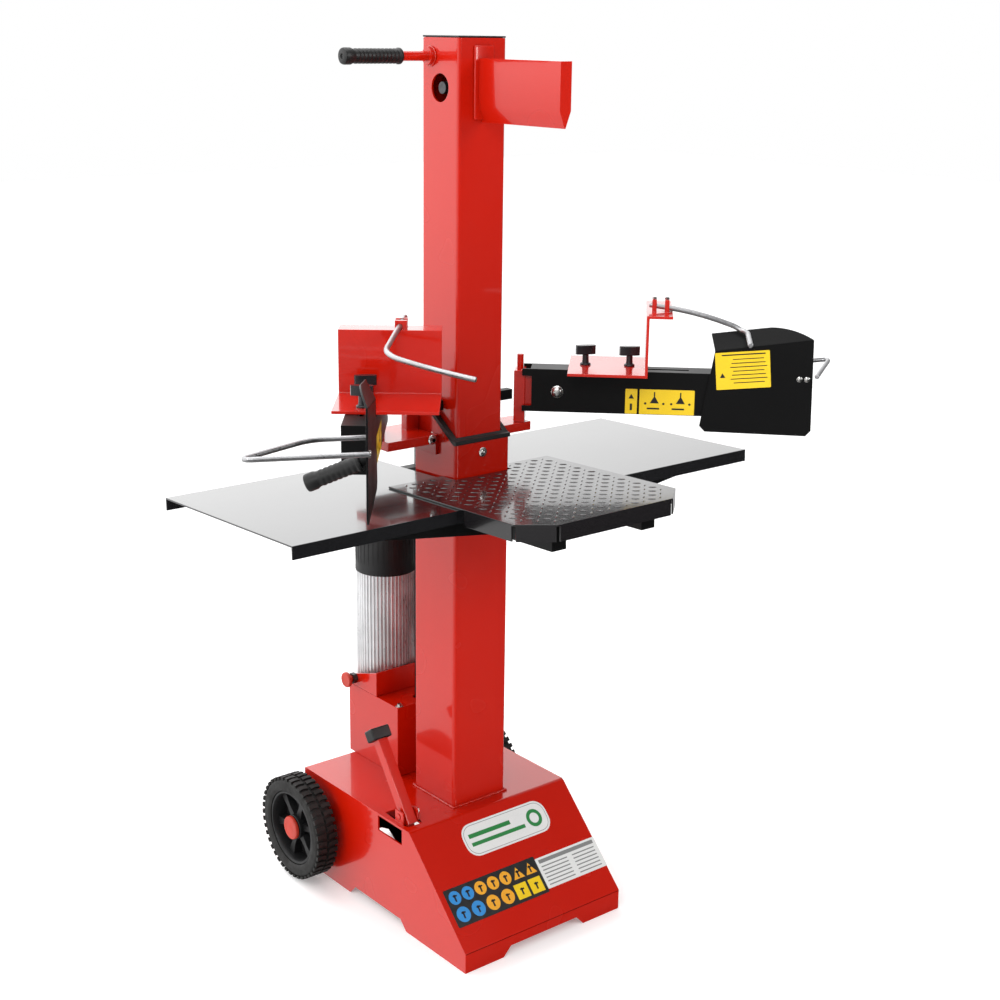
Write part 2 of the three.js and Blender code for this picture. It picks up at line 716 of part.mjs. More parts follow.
// The frame below: two cross beams under the wings, joined by rails along both sides of the column,
// and two short arms that reach forward under the tread plate.
const beamTop = -TABLE_SHEET - GAP;
const beamReach = 355;
const frontBeam = { start: 12, end: 46, depth: 58, endDepth: 22, deepHalf: 90 };
const rearBeamStart = outerHalf + 22 - WING_FRONT;
function tableFrame() {
  const pieces = [
    prismY(
      outline([
        [-beamReach, beamTop],
        [-beamReach, -frontBeam.endDepth],
        [-frontBeam.deepHalf, -frontBeam.depth],
        [frontBeam.deepHalf, -frontBeam.depth],
        [beamReach, -frontBeam.endDepth],
        [beamReach, beamTop],
      ]),
      frontBeam.start,
      frontBeam.end,
    ),
    boxBetween([-beamReach, rearBeamStart, -36], [beamReach, rearBeamStart + 26, beamTop]),
  ];
  for (const side of [-1, 1]) {
    const across = (a, b) => [Math.min(side * a, side * b), Math.max(side * a, side * b)];
    const [railLow, railHigh] = across(outerHalf + 2, outerHalf + 18);
    pieces.push(boxBetween([railLow, frontBeam.end - 1, -46], [railHigh, rearBeamStart + 1, beamTop]));
    const [armLow, armHigh] = across(82, 112);
    pieces.push(boxBetween([armLow, frontEnd + 30, -50], [armHigh, frontBeam.start + 1, -WING_LIP - GAP]));
    pieces.push(boxBetween([armLow, frontEnd + 30, -40], [armHigh, -1.5, 0]));
  }
  return joined(...pieces);
}
addMesh(table, "table_frame", tableFrame(), black);

// ---------- arm supports on the lower column ----------
const footTop = 898;
const footBottom = 882;
const hingePinRadius = 6;
function armSupport(side, { reach, front, rear, gusset }, hinge) {
  const inner = outerHalf + 1 + GAP;
  const span = (x0, y0, z0, x1, y1, z1) =>
    boxBetween([Math.min(side * x0, side * x1), y0, z0], [Math.max(side * x0, side * x1), y1, z1]);
  return joined(
    span(inner, front, footBottom, reach, rear, footTop),
    span(inner, rear - 7, 862, reach - 22, rear, footTop),
    span(outerHalf + GAP, front, 862, inner + 5, Math.min(rear, outerHalf), footBottom + 2),
    ...gusset.map(([x0, y0, x1, y1, top]) => span(x0, y0, footTop - 1, x1, y1, top)),
    rodZ(hingePinRadius, footTop - 8, 1019, side * hinge.x, hinge.y, 20),
  );
}
const supports = {
  left: { reach: 168, front: -12, rear: 90, gusset: [[outerHalf + 1 + GAP, 44, 88, 60, 925]] },
  right: { reach: 134, front: -30, rear: 25, gusset: [] },
};
for (const [label, side] of [["left", -1], ["right", 1]]) {
  addMesh(splitter, `arm_support_${label}`, armSupport(side, supports[label], ARM_PLACES[label]), red);
}

// Control yoke: it reaches round the column to both arms, and a rod goes down to the valve.
const yokeFloor = 941;
const yokeTop = 959;
const yokeInner = innerHalf + 4;
const yokeRear = VALVE_ROD_Y + 10;
const yokeTip = ARM_PLACES.right.x - 24;
function yokeGeometry() {
  const bar = (x0, y0, x1, y1) => boxBetween([x0, y0, yokeFloor], [x1, y1, yokeTop]);
  return joined(
    bar(-yokeTip, -18, -yokeInner, -2),
    bar(-yokeInner - 9, -18, -yokeInner, 82),
    bar(-yokeInner - 9, 72, yokeInner + 9, 82),
    bar(yokeInner, -18, yokeInner + 9, 82),
    bar(yokeInner, -18, yokeTip, -2),
    bar(-9, 80, 9, yokeRear),
    rodZ(7, 262, yokeTop - 4, 0, VALVE_ROD_Y, 16),
  );
}
addMesh(splitter, "control_yoke", yokeGeometry(), black);

// ---------- arms ----------
// Inside an arm's group x runs outwards along the arm, side * y runs away from the log and z is the height.
const armHalf = ARM_WIDTH / 2;

function channelGeometry(end) {
  const bar = boxBetween([ARM_START, -armHalf, ARM_BOTTOM], [end, armHalf, ARM_TOP]);
  const inside = boxBetween(
    [ARM_START - 1, -armHalf + ARM_WALL, ARM_BOTTOM - 1],
    [end - ARM_WALL, armHalf - ARM_WALL, ARM_TOP - ARM_WALL],
  );
  const endNotch = boxBetween([ARM_START - 1, -armHalf - 1, 930], [22, armHalf + 1, 984]);
  const topNotch = boxBetween([ARM_START - 1, -armHalf + ARM_WALL, 984], [20, armHalf - ARM_WALL, ARM_TOP + 1]);
  const clawSlot = boxBetween([91, -4.5, ARM_TOP - 10], [300, 4.5, ARM_TOP + 1]);
  const boltHole = rodY(6 + GAP, -armHalf - 1, armHalf + 1, PIVOT_U, PIVOT_Z, 20);
  return carved(bar, inside, endNotch, topNotch, clawSlot, boltHole);
}

function swingBracketGeometry() {
  const knuckle = boxBetween([-10, -19, footTop + GAP], [10, 19, 992]);
  const tongue = boxBetween([8, -16, 926], [90, 16, 984]);
  const pinHole = rodZ(hingePinRadius + GAP, footTop - 1, 1000, 0, 0, 20);
  const boltHole = rodY(6 + GAP, -20, 20, PIVOT_U, PIVOT_Z, 20);
  return carved(joined(knuckle, tongue), pinHole, boltHole);
}

function pivotBoltGeometry() {
  const headStart = armHalf + GAP;
  return joined(
    rodY(6, -headStart - 2, headStart + 2, PIVOT_U, PIVOT_Z, 20),
    rodY(14, -headStart - 2.5, -headStart, PIVOT_U, PIVOT_Z, 24),
    rodY(10, -headStart - 9, -headStart - 2, PIVOT_U, PIVOT_Z, 6),
    rodY(10, headStart, headStart + 10, PIVOT_U, PIVOT_Z, 6),
  );
}

const guardInner = -armHalf - GAP - 3;
const creaseStart = [343, 1038];
const creaseEnd = [513, 1062];
const gripRoot = [497, guardInner + 2.5, 984];
const gripDirection = new THREE.Vector3(-0.03, 0.92, -0.39).normalize();
const gripSetback = 10; // keeps the slanted grip clear of the plate
const stubRadius = 7;

function hoopCorners(extra, reach) {
  return [
    [430 + extra, guardInner + 4.2, 1000],
    [449 + extra, 61, 1000],
    [562 + extra, reach, 998],
    [521.5 + extra, -30, 998],
  ];
}

function guardGeometry(side, extra) {
  const face = outline([
    [321, 903],
    [331, 893],
    [508, 890],
    [517, 900],
    creaseEnd,
    creaseStart,
  ]);
  const plate = prismY(face, guardInner, guardInner + 3);
  const creaseSlope = Math.atan2(creaseEnd[1] - creaseStart[1], creaseEnd[0] - creaseStart[0]);
  const brow = new THREE.Shape();
  brow.moveTo(0, -1);
  brow.lineTo(171, -1);
  brow.lineTo(171, 0);
  brow.quadraticCurveTo(140, 26, 101, 31);
  brow.lineTo(-3, 32);
  const visor = prismZ(brow, 0, 3)
    .rotateX(THREE.MathUtils.degToRad(62))
    .rotateY(-creaseSlope)
    .translate(creaseStart[0], guardInner + 2.9, creaseStart[1]);
  const stubEnd = gripDirection.clone().multiplyScalar(gripSetback + ARM_GRIP_LENGTH - 12);
  const stub = barBetween(stubRadius, gripRoot, stubEnd.add(new THREE.Vector3(...gripRoot)).toArray(), 16);
  const trimmed = carved(stub, boxBetween([400, -60, 900], [600, guardInner, 1060]));
  const guard = joined(plate, visor, trimmed).translate(extra, 0, 0);
  return side > 0 ? guard : mirrored(guard);
}

// Mirrors a geometry in its XZ plane and keeps its faces pointing outwards.
function mirrored(geometry) {
  const copy = geometry.index ? geometry.toNonIndexed() : geometry.clone();
  const position = copy.attributes.position;
  for (let i = 0; i < position.count; i += 3) {
    const a = [position.getX(i), -position.getY(i), position.getZ(i)];
    const c = [position.getX(i + 2), -position.getY(i + 2), position.getZ(i + 2)];
    position.setY(i + 1, -position.getY(i + 1));
    position.setXYZ(i, ...c);
    position.setXYZ(i + 2, ...a);
  }
  copy.deleteAttribute("normal");
  copy.deleteAttribute("uv");
  return copy;
}

// The claw is one Z-bent plate: base on the arm, upright plate, and a flange that carries the rod.
const clawFloor = ARM_TOP + GAP;
const clawTop = clawFloor + CLAW_HEIGHT;
const clawKnobs = [32, 110]; // knob screws, measured from the upright plate
function clawGeometry(plateU, direction, rodOffset, centre, clampRise) {
  const at = (distance) => plateU + direction * distance;
  const slab = (d0, d1, z0, z1) =>
    boxBetween(
      [Math.min(at(d0), at(d1)), centre - CLAW_WIDTH / 2, z0],
      [Math.max(at(d0), at(d1)), centre + CLAW_WIDTH / 2, z1],
    );
  const base = slab(0, CLAW_LENGTH, clawFloor, clawFloor + CLAW_SHEET);
  const plate = slab(0, CLAW_SHEET, clawFloor, clawTop);
  const flange = slab(CLAW_SHEET, -CLAW_FLANGE, clawTop - CLAW_SHEET, clawTop);
  const clamps = [8, 30].map((d) =>
    boxBetween([at(-d) - 4, rodOffset - 10, clawTop - 1], [at(-d) + 4, rodOffset + 10, clawTop + clampRise]),
  );
  const holes = clawKnobs.map((d) => rodZ(4 + GAP, clawFloor - 1, clawFloor + CLAW_SHEET + 1, at(d), 0, 16));
  return { solid: joined(base, plate, flange, ...clamps), holes };
}

function knobGeometry() {
  const seat = clawFloor + CLAW_SHEET + GAP;
  return joined(
    rodZ(4, ARM_TOP - 16, seat + 4, 0, 0, 12),
    rodZ(8, ARM_TOP - 14, ARM_TOP - 7, 0, 0, 6),
    rodZ(9, seat, seat + 6, 0, 0, 24),
    rodZ(6, seat + 5, seat + 20, 0, 0, 20),
    boxBetween([-14, -8, seat + 16], [14, 8, seat + 34]),
  );
}

const armLayouts = [
  {
    label: "left",
    side: -1,
    plateU: 150,
    clawDirection: 1,
    clawCentre: -38,
    clampRise: 14,
    rod: [
      [104, -60, 1119],
      [257, -34, 1087],
      [306, -178, 1058],
    ],
  },
  {
    label: "right",
    side: 1,
    plateU: 226,
    clawDirection: -1,
    clawCentre: 0,
    clampRise: 21,
    rod: [
      [226, -28, 1117],
      [397, -28, 1074],
      [393, -168, 1076],
    ],
  },
];

for (const { label, side, plateU, clawDirection, clawCentre, clampRise, rod } of armLayouts) {
  const place = ARM_PLACES[label];
  const arm = new THREE.Group();
  arm.position.set(side * place.x, place.y, 0);
  arm.rotation.set(0, 0, side > 0 ? -place.yaw : Math.PI + place.yaw);
  splitter.add(arm);

  addMesh(arm, `swing_bracket_${label}`, swingBracketGeometry(), red);
  addMesh(arm, `arm_channel_${label}`, channelGeometry(ARM_END + place.extra), black);
  const bolt = pivotBoltGeometry();
  addMesh(arm, `pivot_bolt_${label}`, side > 0 ? bolt : mirrored(bolt), steel);
  addMesh(arm, `guard_plate_${label}`, guardGeometry(side, place.extra), black);
  const hoopPath = hoopCorners(place.extra, place.hoopReach).map(([u, y, z]) => [u, side * y, z]);
  addMesh(arm, `hoop_rod_${label}`, bentRod(HOOP_RADIUS, hoopPath, 9), steel);

  const grip = addMesh(arm, `arm_grip_${label}`, gripGeometry(stubRadius + GAP, ARM_GRIP_LENGTH), rubber);
  const away = gripDirection.clone().setY(side * gripDirection.y);
  const gripStart = new THREE.Vector3(gripRoot[0] + place.extra, side * gripRoot[1], gripRoot[2]);
  grip.position.copy(gripStart.addScaledVector(away, gripSetback));
  grip.quaternion.setFromUnitVectors(new THREE.Vector3(0, 0, 1), away);

  const rodPath = rod.map(([u, y, z]) => [u, side * y, z]);
  const rodGeometry = bentRod(CLAW_ROD_RADIUS, rodPath, 22);
  const clearance = bentRod(CLAW_ROD_RADIUS + GAP, rodPath, 22);
  const reachedByClamps = (plateU - clawDirection * 19 - rod[0][0]) / (rod[1][0] - rod[0][0]);
  const clampOffset = rod[0][1] + (rod[1][1] - rod[0][1]) * Math.max(reachedByClamps, 0);
  const claw = clawGeometry(plateU, clawDirection, side * clampOffset, side * clawCentre, clampRise);
  addMesh(arm, `claw_${label}`, carved(claw.solid, clearance, ...claw.holes), red);
  addMesh(arm, `claw_rod_${label}`, rodGeometry, steel);
  clawKnobs.forEach((distance, i) => {
    const knob = addMesh(arm, `claw_knob_${label}_${i + 1}`, knobGeometry(), plastic);
    knob.position.set(plateU + clawDirection * distance, 0, 0);
  });
}

// ---------- foot lever ----------
const lever = new THREE.Group();
lever.position.set(LEVER_X, LEVER_Y, LEVER_Z);
lever.rotation.set(-LEVER_LEAN, 0, 0);
splitter.add(lever);
const leverLength = 155;
const leverHalf = 10;
addMesh(
  lever,
  "foot_lever",
  joined(
    boxBetween([-leverHalf, -leverHalf, -20], [leverHalf, leverHalf, leverLength]),
    boxBetween([-leverHalf + 2, -13, -42], [leverHalf - 2, 12, -4]).rotateX(LEVER_LEAN),
    rodX(5, -19, 19, 0, 0, 16),
  ),
  red,
);
addMesh(
  lever,
  "foot_lever_cap",
  carved(
    boxBetween([-20, -13, leverLength - 13], [20, 13, leverLength + 9]),
    boxBetween([-leverHalf - GAP, -leverHalf - GAP, leverLength - 17], [leverHalf + GAP, leverHalf + GAP, leverLength + GAP]),
  ),
  rubber,
);

export default splitter;
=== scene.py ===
"""Looks for an upright log splitter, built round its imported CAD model.

Every length is in metres, in the CAD's frame: +Z up, -Y the front, X = 0 the middle plane. MM turns the
millimetres of the workshop drawing into metres. Most sheet and bar parts are copies of their CAD solid with
rolled or broken edges; round, moulded and patterned parts are built here from their own profiles.
"""
import json
import math
import random

import bmesh
import bpy
from mathutils import Matrix, Vector


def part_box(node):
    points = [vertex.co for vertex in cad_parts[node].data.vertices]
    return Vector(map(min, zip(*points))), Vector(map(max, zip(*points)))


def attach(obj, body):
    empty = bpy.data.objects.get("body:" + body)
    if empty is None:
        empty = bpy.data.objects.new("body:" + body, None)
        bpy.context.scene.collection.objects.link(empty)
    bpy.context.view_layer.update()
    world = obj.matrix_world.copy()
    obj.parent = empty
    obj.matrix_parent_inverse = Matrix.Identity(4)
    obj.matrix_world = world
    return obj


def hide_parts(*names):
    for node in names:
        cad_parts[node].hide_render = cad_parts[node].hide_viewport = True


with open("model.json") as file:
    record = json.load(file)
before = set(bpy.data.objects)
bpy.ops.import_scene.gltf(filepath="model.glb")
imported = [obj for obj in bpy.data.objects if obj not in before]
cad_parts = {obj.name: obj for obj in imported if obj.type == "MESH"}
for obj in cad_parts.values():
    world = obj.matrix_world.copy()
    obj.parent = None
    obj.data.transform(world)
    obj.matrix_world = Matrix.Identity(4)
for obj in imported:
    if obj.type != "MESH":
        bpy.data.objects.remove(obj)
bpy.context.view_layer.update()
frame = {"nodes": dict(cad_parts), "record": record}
record = frame["record"]

MM = 0.001
SEED = 7
BODY_OF = {node: body for body, nodes in record["behaviour"]["bodies"].items() for node in nodes}
SLOT_OF = {part["node"]: part["material_slot"] for part in record["subparts"]}
JOINTS = {joint["name"]: joint for joint in record["behaviour"]["joints"]}
SIDES = {"left": -1, "right": 1}


def middle(node):
    low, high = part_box(node)
    return (low + high) / 2


column_y = middle("column_inner").y
base_low, base_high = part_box("base_housing")
base_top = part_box("column_outer")[0].z


# ---------- materials ----------
def new_material(name, colour, roughness, metallic=0.0):
    material = bpy.data.materials.new(name)
    material.use_nodes = True
    shader = material.node_tree.nodes["Principled BSDF"]
    shader.inputs["Base Color"].default_value = (*colour, 1)
    shader.inputs["Roughness"].default_value = roughness
    shader.inputs["Metallic"].default_value = metallic
    return material, material.node_tree.nodes, material.node_tree.links, shader


def object_noise(nodes, links, scale, detail=3.0, stretch=(1, 1, 1)):
    """A noise in object space, so it stays on the piece when the piece moves."""
    place = nodes.new("ShaderNodeTexCoord")
    mapping = nodes.new("ShaderNodeMapping")
    mapping.inputs["Scale"].default_value = stretch
    noise = nodes.new("ShaderNodeTexNoise")
    noise.inputs["Scale"].default_value = scale
    noise.inputs["Detail"].default_value = detail
    links.new(place.outputs["Object"], mapping.inputs["Vector"])
    links.new(mapping.outputs["Vector"], noise.inputs["Vector"])
    return noise.outputs["Fac"]


def ranged(nodes, links, value, low, high, from_low=0.3, from_high=0.7):
    """A value mapped to low..high; the default input range is where most of a noise lies."""
    node = nodes.new("ShaderNodeMapRange")
    node.inputs["From Min"].default_value = from_low
    node.inputs["From Max"].default_value = from_high
    node.inputs["To Min"].default_value = low
    node.inputs["To Max"].default_value = high
    links.new(value, node.inputs["Value"])
    return node.outputs["Result"]


def mixed(nodes, links, factor, first, second):
    """A blend of two plain colours by a factor."""
    node = nodes.new("ShaderNodeMix")
    node.data_type = "RGBA"
    links.new(factor, node.inputs["Factor"])
    for socket, colour in (("A", first), ("B", second)):
        slot = [s for s in node.inputs if s.name == socket and s.type == "RGBA"][0]
        slot.default_value = (*colour, 1)
    return [s for s in node.outputs if s.type == "RGBA"][0]


def bump(nodes, links, shader, height, strength, distance):
    node = nodes.new("ShaderNodeBump")
    node.inputs["Strength"].default_value = strength
    node.inputs["Distance"].default_value = distance
    links.new(height, node.inputs["Height"])
    links.new(node.outputs["Normal"], shader.inputs["Normal"])


def paint(name, colour, shade, roughness, coat, peel=0.06, peel_scale=420, specular=0.5):
    """Powder coat: a slow drift of shade, uneven gloss, fine orange peel under a clear gloss."""
    material, nodes, links, shader = new_material(name, colour, roughness)
    drift = ranged(nodes, links, object_noise(nodes, links, 4.0, 1.0), 0, 1, 0.0, 1.0)
    links.new(mixed(nodes, links, drift, colour, shade), shader.inputs["Base Color"])
    gloss = object_noise(nodes, links, 9.0, 1.0)
    uneven = ranged(nodes, links, gloss, roughness * 0.8, roughness * 1.2, 0.0, 1.0)
    links.new(uneven, shader.inputs["Roughness"])
    bump(nodes, links, shader, object_noise(nodes, links, peel_scale, 2.0), peel, 0.0004)
    shader.inputs["Coat Weight"].default_value = coat
    shader.inputs["Coat Roughness"].default_value = 0.06
    shader.inputs["Specular IOR Level"].default_value = specular
    return material


def bare_metal(name, colour, roughness, stretch=(1, 1, 1), grain=0.15, scale=160):
    """Drawn, turned or plated metal: streaky gloss along the working direction and a few duller patches."""
    material, nodes, links, shader = new_material(name, colour, roughness, 1.0)
    streak = object_noise(nodes, links, scale, 4.0, stretch)
    patch = object_noise(nodes, links, 14.0, 3.0)
    dull = tuple(c * 0.72 for c in colour)
    links.new(mixed(nodes, links, ranged(nodes, links, patch, 0, 1, 0.35, 0.75), colour, dull),
              shader.inputs["Base Color"])
    links.new(ranged(nodes, links, streak, roughness * 0.7, roughness * 1.5), shader.inputs["Roughness"])
    bump(nodes, links, shader, streak, grain, 0.0002)
    return material


def moulded(name, colour, roughness, grain=0.25, grain_scale=700, spread=1.25, specular=0.5):
    """Moulded plastic or rubber with a spark-eroded grain."""
    material, nodes, links, shader = new_material(name, colour, roughness)
    patch = object_noise(nodes, links, 18.0, 3.0)
    lighter = tuple(min(1.0, c * 1.5 + 0.004) for c in colour)
    share = ranged(nodes, links, patch, 0, 1)
    links.new(mixed(nodes, links, share, colour, lighter), shader.inputs["Base Color"])
    gloss = object_noise(nodes, links, 60.0, 4.0)
    uneven = ranged(nodes, links, gloss, roughness / spread, roughness * spread)
    links.new(uneven, shader.inputs["Roughness"])
    bump(nodes, links, shader, object_noise(nodes, links, grain_scale, 2.0), grain, 0.0003)
    shader.inputs["Specular IOR Level"].default_value = specular
    return material


def printed(name, colour, roughness=0.35):
    """A printed film label: slightly uneven ink with a faint satin film."""
    material, nodes, links, shader = new_material(name, colour, roughness)
    ink = ranged(nodes, links, object_noise(nodes, links, 900.0, 2.0), 0, 1)
    worn = tuple(c * 0.9 for c in colour)
    links.new(mixed(nodes, links, ink, colour, worn), shader.inputs["Base Color"])
    links.new(ranged(nodes, links, object_noise(nodes, links, 90.0, 3.0), roughness * 0.8, roughness * 1.2),
              shader.inputs["Roughness"])
    bump(nodes, links, shader, object_noise(nodes, links, 260.0, 2.0), 0.05, 0.0001)
    return material


RED = paint("red_powder_coat", (0.52, 0.008, 0.0005), (0.48, 0.007, 0.0005), 0.26, 0.85, specular=0.2)
BLACK_GLOSS = paint("black_gloss_coat", (0.006, 0.006, 0.007), (0.008, 0.008, 0.009), 0.16, 0.7, 0.05, 300)
BLACK_SATIN = paint("black_satin_coat", (0.003, 0.003, 0.0033), (0.0045, 0.0045, 0.0045), 0.40, 0.0, 0.2, 520,
                    specular=0.16)
TREAD_BLACK = paint("tread_black_coat", (0.007, 0.006, 0.007), (0.010, 0.009, 0.010), 0.20, 0.4, 0.08, 300)
STEEL = bare_metal("bright_steel", (0.55, 0.55, 0.56), 0.28, (1, 1, 6), 0.12)
ROD_STEEL = bare_metal("drawn_rod", (0.48, 0.48, 0.49), 0.36, (1, 1, 1), 0.2, 300)
ZINC = bare_metal("zinc_plating", (0.66, 0.66, 0.64), 0.24, (1, 1, 1), 0.1, 240)
DARK_STEEL = bare_metal("oiled_steel", (0.10, 0.10, 0.105), 0.45, (1, 1, 1), 0.2, 200)
ALUMINIUM = bare_metal("drawn_aluminium", (0.95, 0.95, 0.96), 0.34, (9, 9, 0.6), 0.15, 90)
CAST = bare_metal("cast_aluminium", (0.60, 0.60, 0.62), 0.5, (1, 1, 1), 0.6, 260)
PLASTIC = moulded("black_moulding", (0.006, 0.006, 0.0065), 0.44, specular=0.35)
SHINY_PLASTIC = moulded("black_knob_plastic", (0.008, 0.009, 0.011), 0.22, 0.1)
RUBBER = moulded("grip_rubber", (0.006, 0.006, 0.006), 0.42, 0.3, 900, specular=0.4)
TYRE = moulded("tyre_rubber", (0.006, 0.0055, 0.005), 0.62, 0.6, 600, 1.25, 0.35)
CREAM = moulded("slide_plastic", (0.72, 0.68, 0.56), 0.5)
GREEN = moulded("green_button", (0.01, 0.30, 0.06), 0.25, 0.08)
RED_PLASTIC = moulded("red_moulding", (0.36, 0.018, 0.005), 0.42, 0.12)
YELLOW_INK = printed("yellow_label", (0.86, 0.58, 0.005))
WHITE_INK = printed("white_label", (0.78, 0.78, 0.77))
BLACK_INK = printed("black_label", (0.012, 0.012, 0.013))
ORANGE_INK = printed("orange_label", (0.85, 0.38, 0.02))
BLUE_INK = printed("blue_label", (0.03, 0.25, 0.62))
GREEN_INK = printed("green_label", (0.02, 0.22, 0.05))
GREY_INK = printed("grey_label", (0.22, 0.22, 0.22))

FINISH = {
    "red_paint": RED, "black_paint": BLACK_SATIN, "bright_steel": STEEL, "cast_aluminium": CAST,
    "black_plastic": PLASTIC, "tyre_rubber": TYRE, "black_rubber": RUBBER, "cream_plastic": CREAM,
    "green_plastic": GREEN, "red_plastic": RED_PLASTIC,
}


# ---------- mesh helpers ----------
def piece_from(bm, name, material, body=None, slot=None, stands_for=(), smooth_angle=38):
    """Turns a bmesh into a piece: smooth except at real edges, riding on a body."""
    bmesh.ops.recalc_face_normals(bm, faces=bm.faces)
    limit = math.radians(smooth_angle)
    for face in bm.faces:
        face.smooth = True
    for edge in bm.edges:
        edge.smooth = len(edge.link_faces) == 2 and edge.calc_face_angle(0) < limit
    mesh = bpy.data.meshes.new(name)
    bm.to_mesh(mesh)
    bm.free()
    mesh.materials.append(material)
    piece = bpy.data.objects.new(name, mesh)
    bpy.context.scene.collection.objects.link(piece)
    nodes = [stands_for] if isinstance(stands_for, str) else list(stands_for)
    if nodes:
        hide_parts(*nodes)
        body = body or BODY_OF[nodes[0]]
        slot = slot or SLOT_OF[nodes[0]]
    if body:
        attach(piece, body)
        slot or "red_paint"
    return piece


def joined(*meshes):
    """Merges several bmeshes into the first one."""
    whole = meshes[0]
    for other in meshes[1:]:
        scrap = bpy.data.meshes.new("scrap")
        other.to_mesh(scrap)
        other.free()
        whole.from_mesh(scrap)
        bpy.data.meshes.remove(scrap)
    return whole


def solid_of(node):
    """The CAD solid of a node with its triangles merged back into flat faces."""
    bm = bmesh.new()
    bm.from_mesh(frame["nodes"][node].data)
    bmesh.ops.remove_doubles(bm, verts=bm.verts, dist=1e-6)
    bmesh.ops.dissolve_limit(bm, angle_limit=math.radians(1.5), verts=bm.verts, edges=bm.edges)
    return bm


def round_edges(bm, wanted, radius, segments=3):
    edges = [edge for edge in bm.edges if len(edge.link_faces) == 2 and wanted(edge)]
    if edges:
        bmesh.ops.bevel(bm, geom=edges, offset=radius, offset_type="OFFSET", segments=segments,
                        profile=0.5, affect="EDGES", clamp_overlap=True)


def is_sharp(edge, angle=32):
    return edge.calc_face_angle(0) > math.radians(angle)


def along(edge, axis, tolerance=0.02):
    direction = (edge.verts[1].co - edge.verts[0].co).normalized()
    return abs(abs(direction.dot(Vector(axis))) - 1) < tolerance


def softened(node, width, material=None, rolls=(), segments=2):
    """A copy of a CAD solid whose bends are rolled and whose other edges are lightly broken."""
    bm = solid_of(node)
    for wanted, radius, steps in rolls:
        round_edges(bm, wanted, radius, steps)
    sharp = [edge for edge in bm.edges if len(edge.link_faces) == 2 and is_sharp(edge)]
    bmesh.ops.bevel(bm, geom=sharp, offset=width, offset_type="OFFSET", segments=segments,
                    profile=0.6, affect="EDGES", clamp_overlap=False)
    piece = piece_from(bm, "body_" + node, material or FINISH[SLOT_OF[node]], stands_for=node)
    flat = piece.modifiers.new("flat_faces", "WEIGHTED_NORMAL")
    flat.keep_sharp = True


def frame_at(origin, direction, up=(0, 0, 1)):
    """A matrix whose Z axis points along direction, placed at origin."""
    z = Vector(direction).normalized()
    side = Vector(up) - z * Vector(up).dot(z)
    if side.length < 1e-6:
        side = Vector((1, 0, 0)) - z * z.x
    y = side.normalized()
    x = y.cross(z)
    return Matrix.Translation(Vector(origin)) @ Matrix((x, y, z)).transposed().to_4x4()


def turned(profile, place, sides=48):
    """A solid of revolution about its local Z from (radius, height) pairs in millimetres."""
    bm = bmesh.new()
    rings = []
    for radius, height in profile:
        if radius < 1e-6:
            rings.append([bm.verts.new((0, 0, height * MM))])
            continue
        angles = [2 * math.pi * i / sides for i in range(sides)]
        rings.append([bm.verts.new((radius * MM * math.cos(a), radius * MM * math.sin(a), height * MM))
                      for a in angles])
    for first, second in zip(rings, rings[1:]):
        for i in range(sides):
            j = (i + 1) % sides
            corners = [first[i % len(first)], first[j % len(first)],
                       second[j % len(second)], second[i % len(second)]]
            unique = list(dict.fromkeys(corners))
            if len(unique) > 2:
                bm.faces.new(unique)
    bmesh.ops.transform(bm, matrix=place, verts=bm.verts)
    return bm


def prism(points, height, place, radius=0.0, segments=2):
    """A flat outline (millimetres) pulled up by height, with its edges broken by radius."""
    bm = bmesh.new()
    low = [bm.verts.new((x * MM, y * MM, 0)) for x, y in points]
    high = [bm.verts.new((x * MM, y * MM, height * MM)) for x, y in points]
    bm.faces.new(list(reversed(low)))
    bm.faces.new(high)
    for i in range(len(points)):
        j = (i + 1) % len(points)
        bm.faces.new((low[i], low[j], high[j], high[i]))
    if radius:
        sharp = [edge for edge in bm.edges if is_sharp(edge)]
        bmesh.ops.bevel(bm, geom=sharp, offset=radius * MM, offset_type="OFFSET", segments=segments,
                        profile=0.5, affect="EDGES", clamp_overlap=True)
    bmesh.ops.transform(bm, matrix=place, verts=bm.verts)
    return bm


def block(low, high, radius=0.6, segments=2):
    """A box between two corners in metres, with broken edges."""
    bm = bmesh.new()
    bmesh.ops.create_cube(bm, size=1)
    size = Vector(high) - Vector(low)
    bmesh.ops.scale(bm, vec=size, verts=bm.verts)
    bmesh.ops.translate(bm, vec=(Vector(low) + Vector(high)) / 2, verts=bm.verts)
    bmesh.ops.bevel(bm, geom=bm.edges[:], offset=radius * MM, offset_type="OFFSET", segments=segments,
                    profile=0.5, affect="EDGES", clamp_overlap=True)
    return bm


def rounded_outline(width, height, radius, steps=6):
    points = []
    for cx, cy, start in ((1, -1, -90), (1, 1, 0), (-1, 1, 90), (-1, -1, 180)):
        for i in range(steps + 1):
            angle = math.radians(start + 90 * i / steps)
            points.append((cx * (width / 2 - radius) + radius * math.cos(angle),
                           cy * (height / 2 - radius) + radius * math.sin(angle)))
    return points


def smooth_path(corners, bend, steps=8):
    """Straight legs between corners (metres) joined by rounded bends."""
    corners = [Vector(c) for c in corners]
    path = [corners[0]]
    for before, corner, after in zip(corners, corners[1:], corners[2:]):
        start = corner + (before - corner).normalized() * bend
        end = corner + (after - corner).normalized() * bend
        for i in range(steps + 1):
            t = i / steps
            path.append(start * (1 - t) ** 2 + corner * 2 * t * (1 - t) + end * t * t)
    path.append(corners[-1])
    return path


def resampled(path, spacing):
    points = [path[0]]
    for a, b in zip(path, path[1:]):
        count = max(1, round((b - a).length / spacing))
        points += [a.lerp(b, (i + 1) / count) for i in range(count)]
    return points


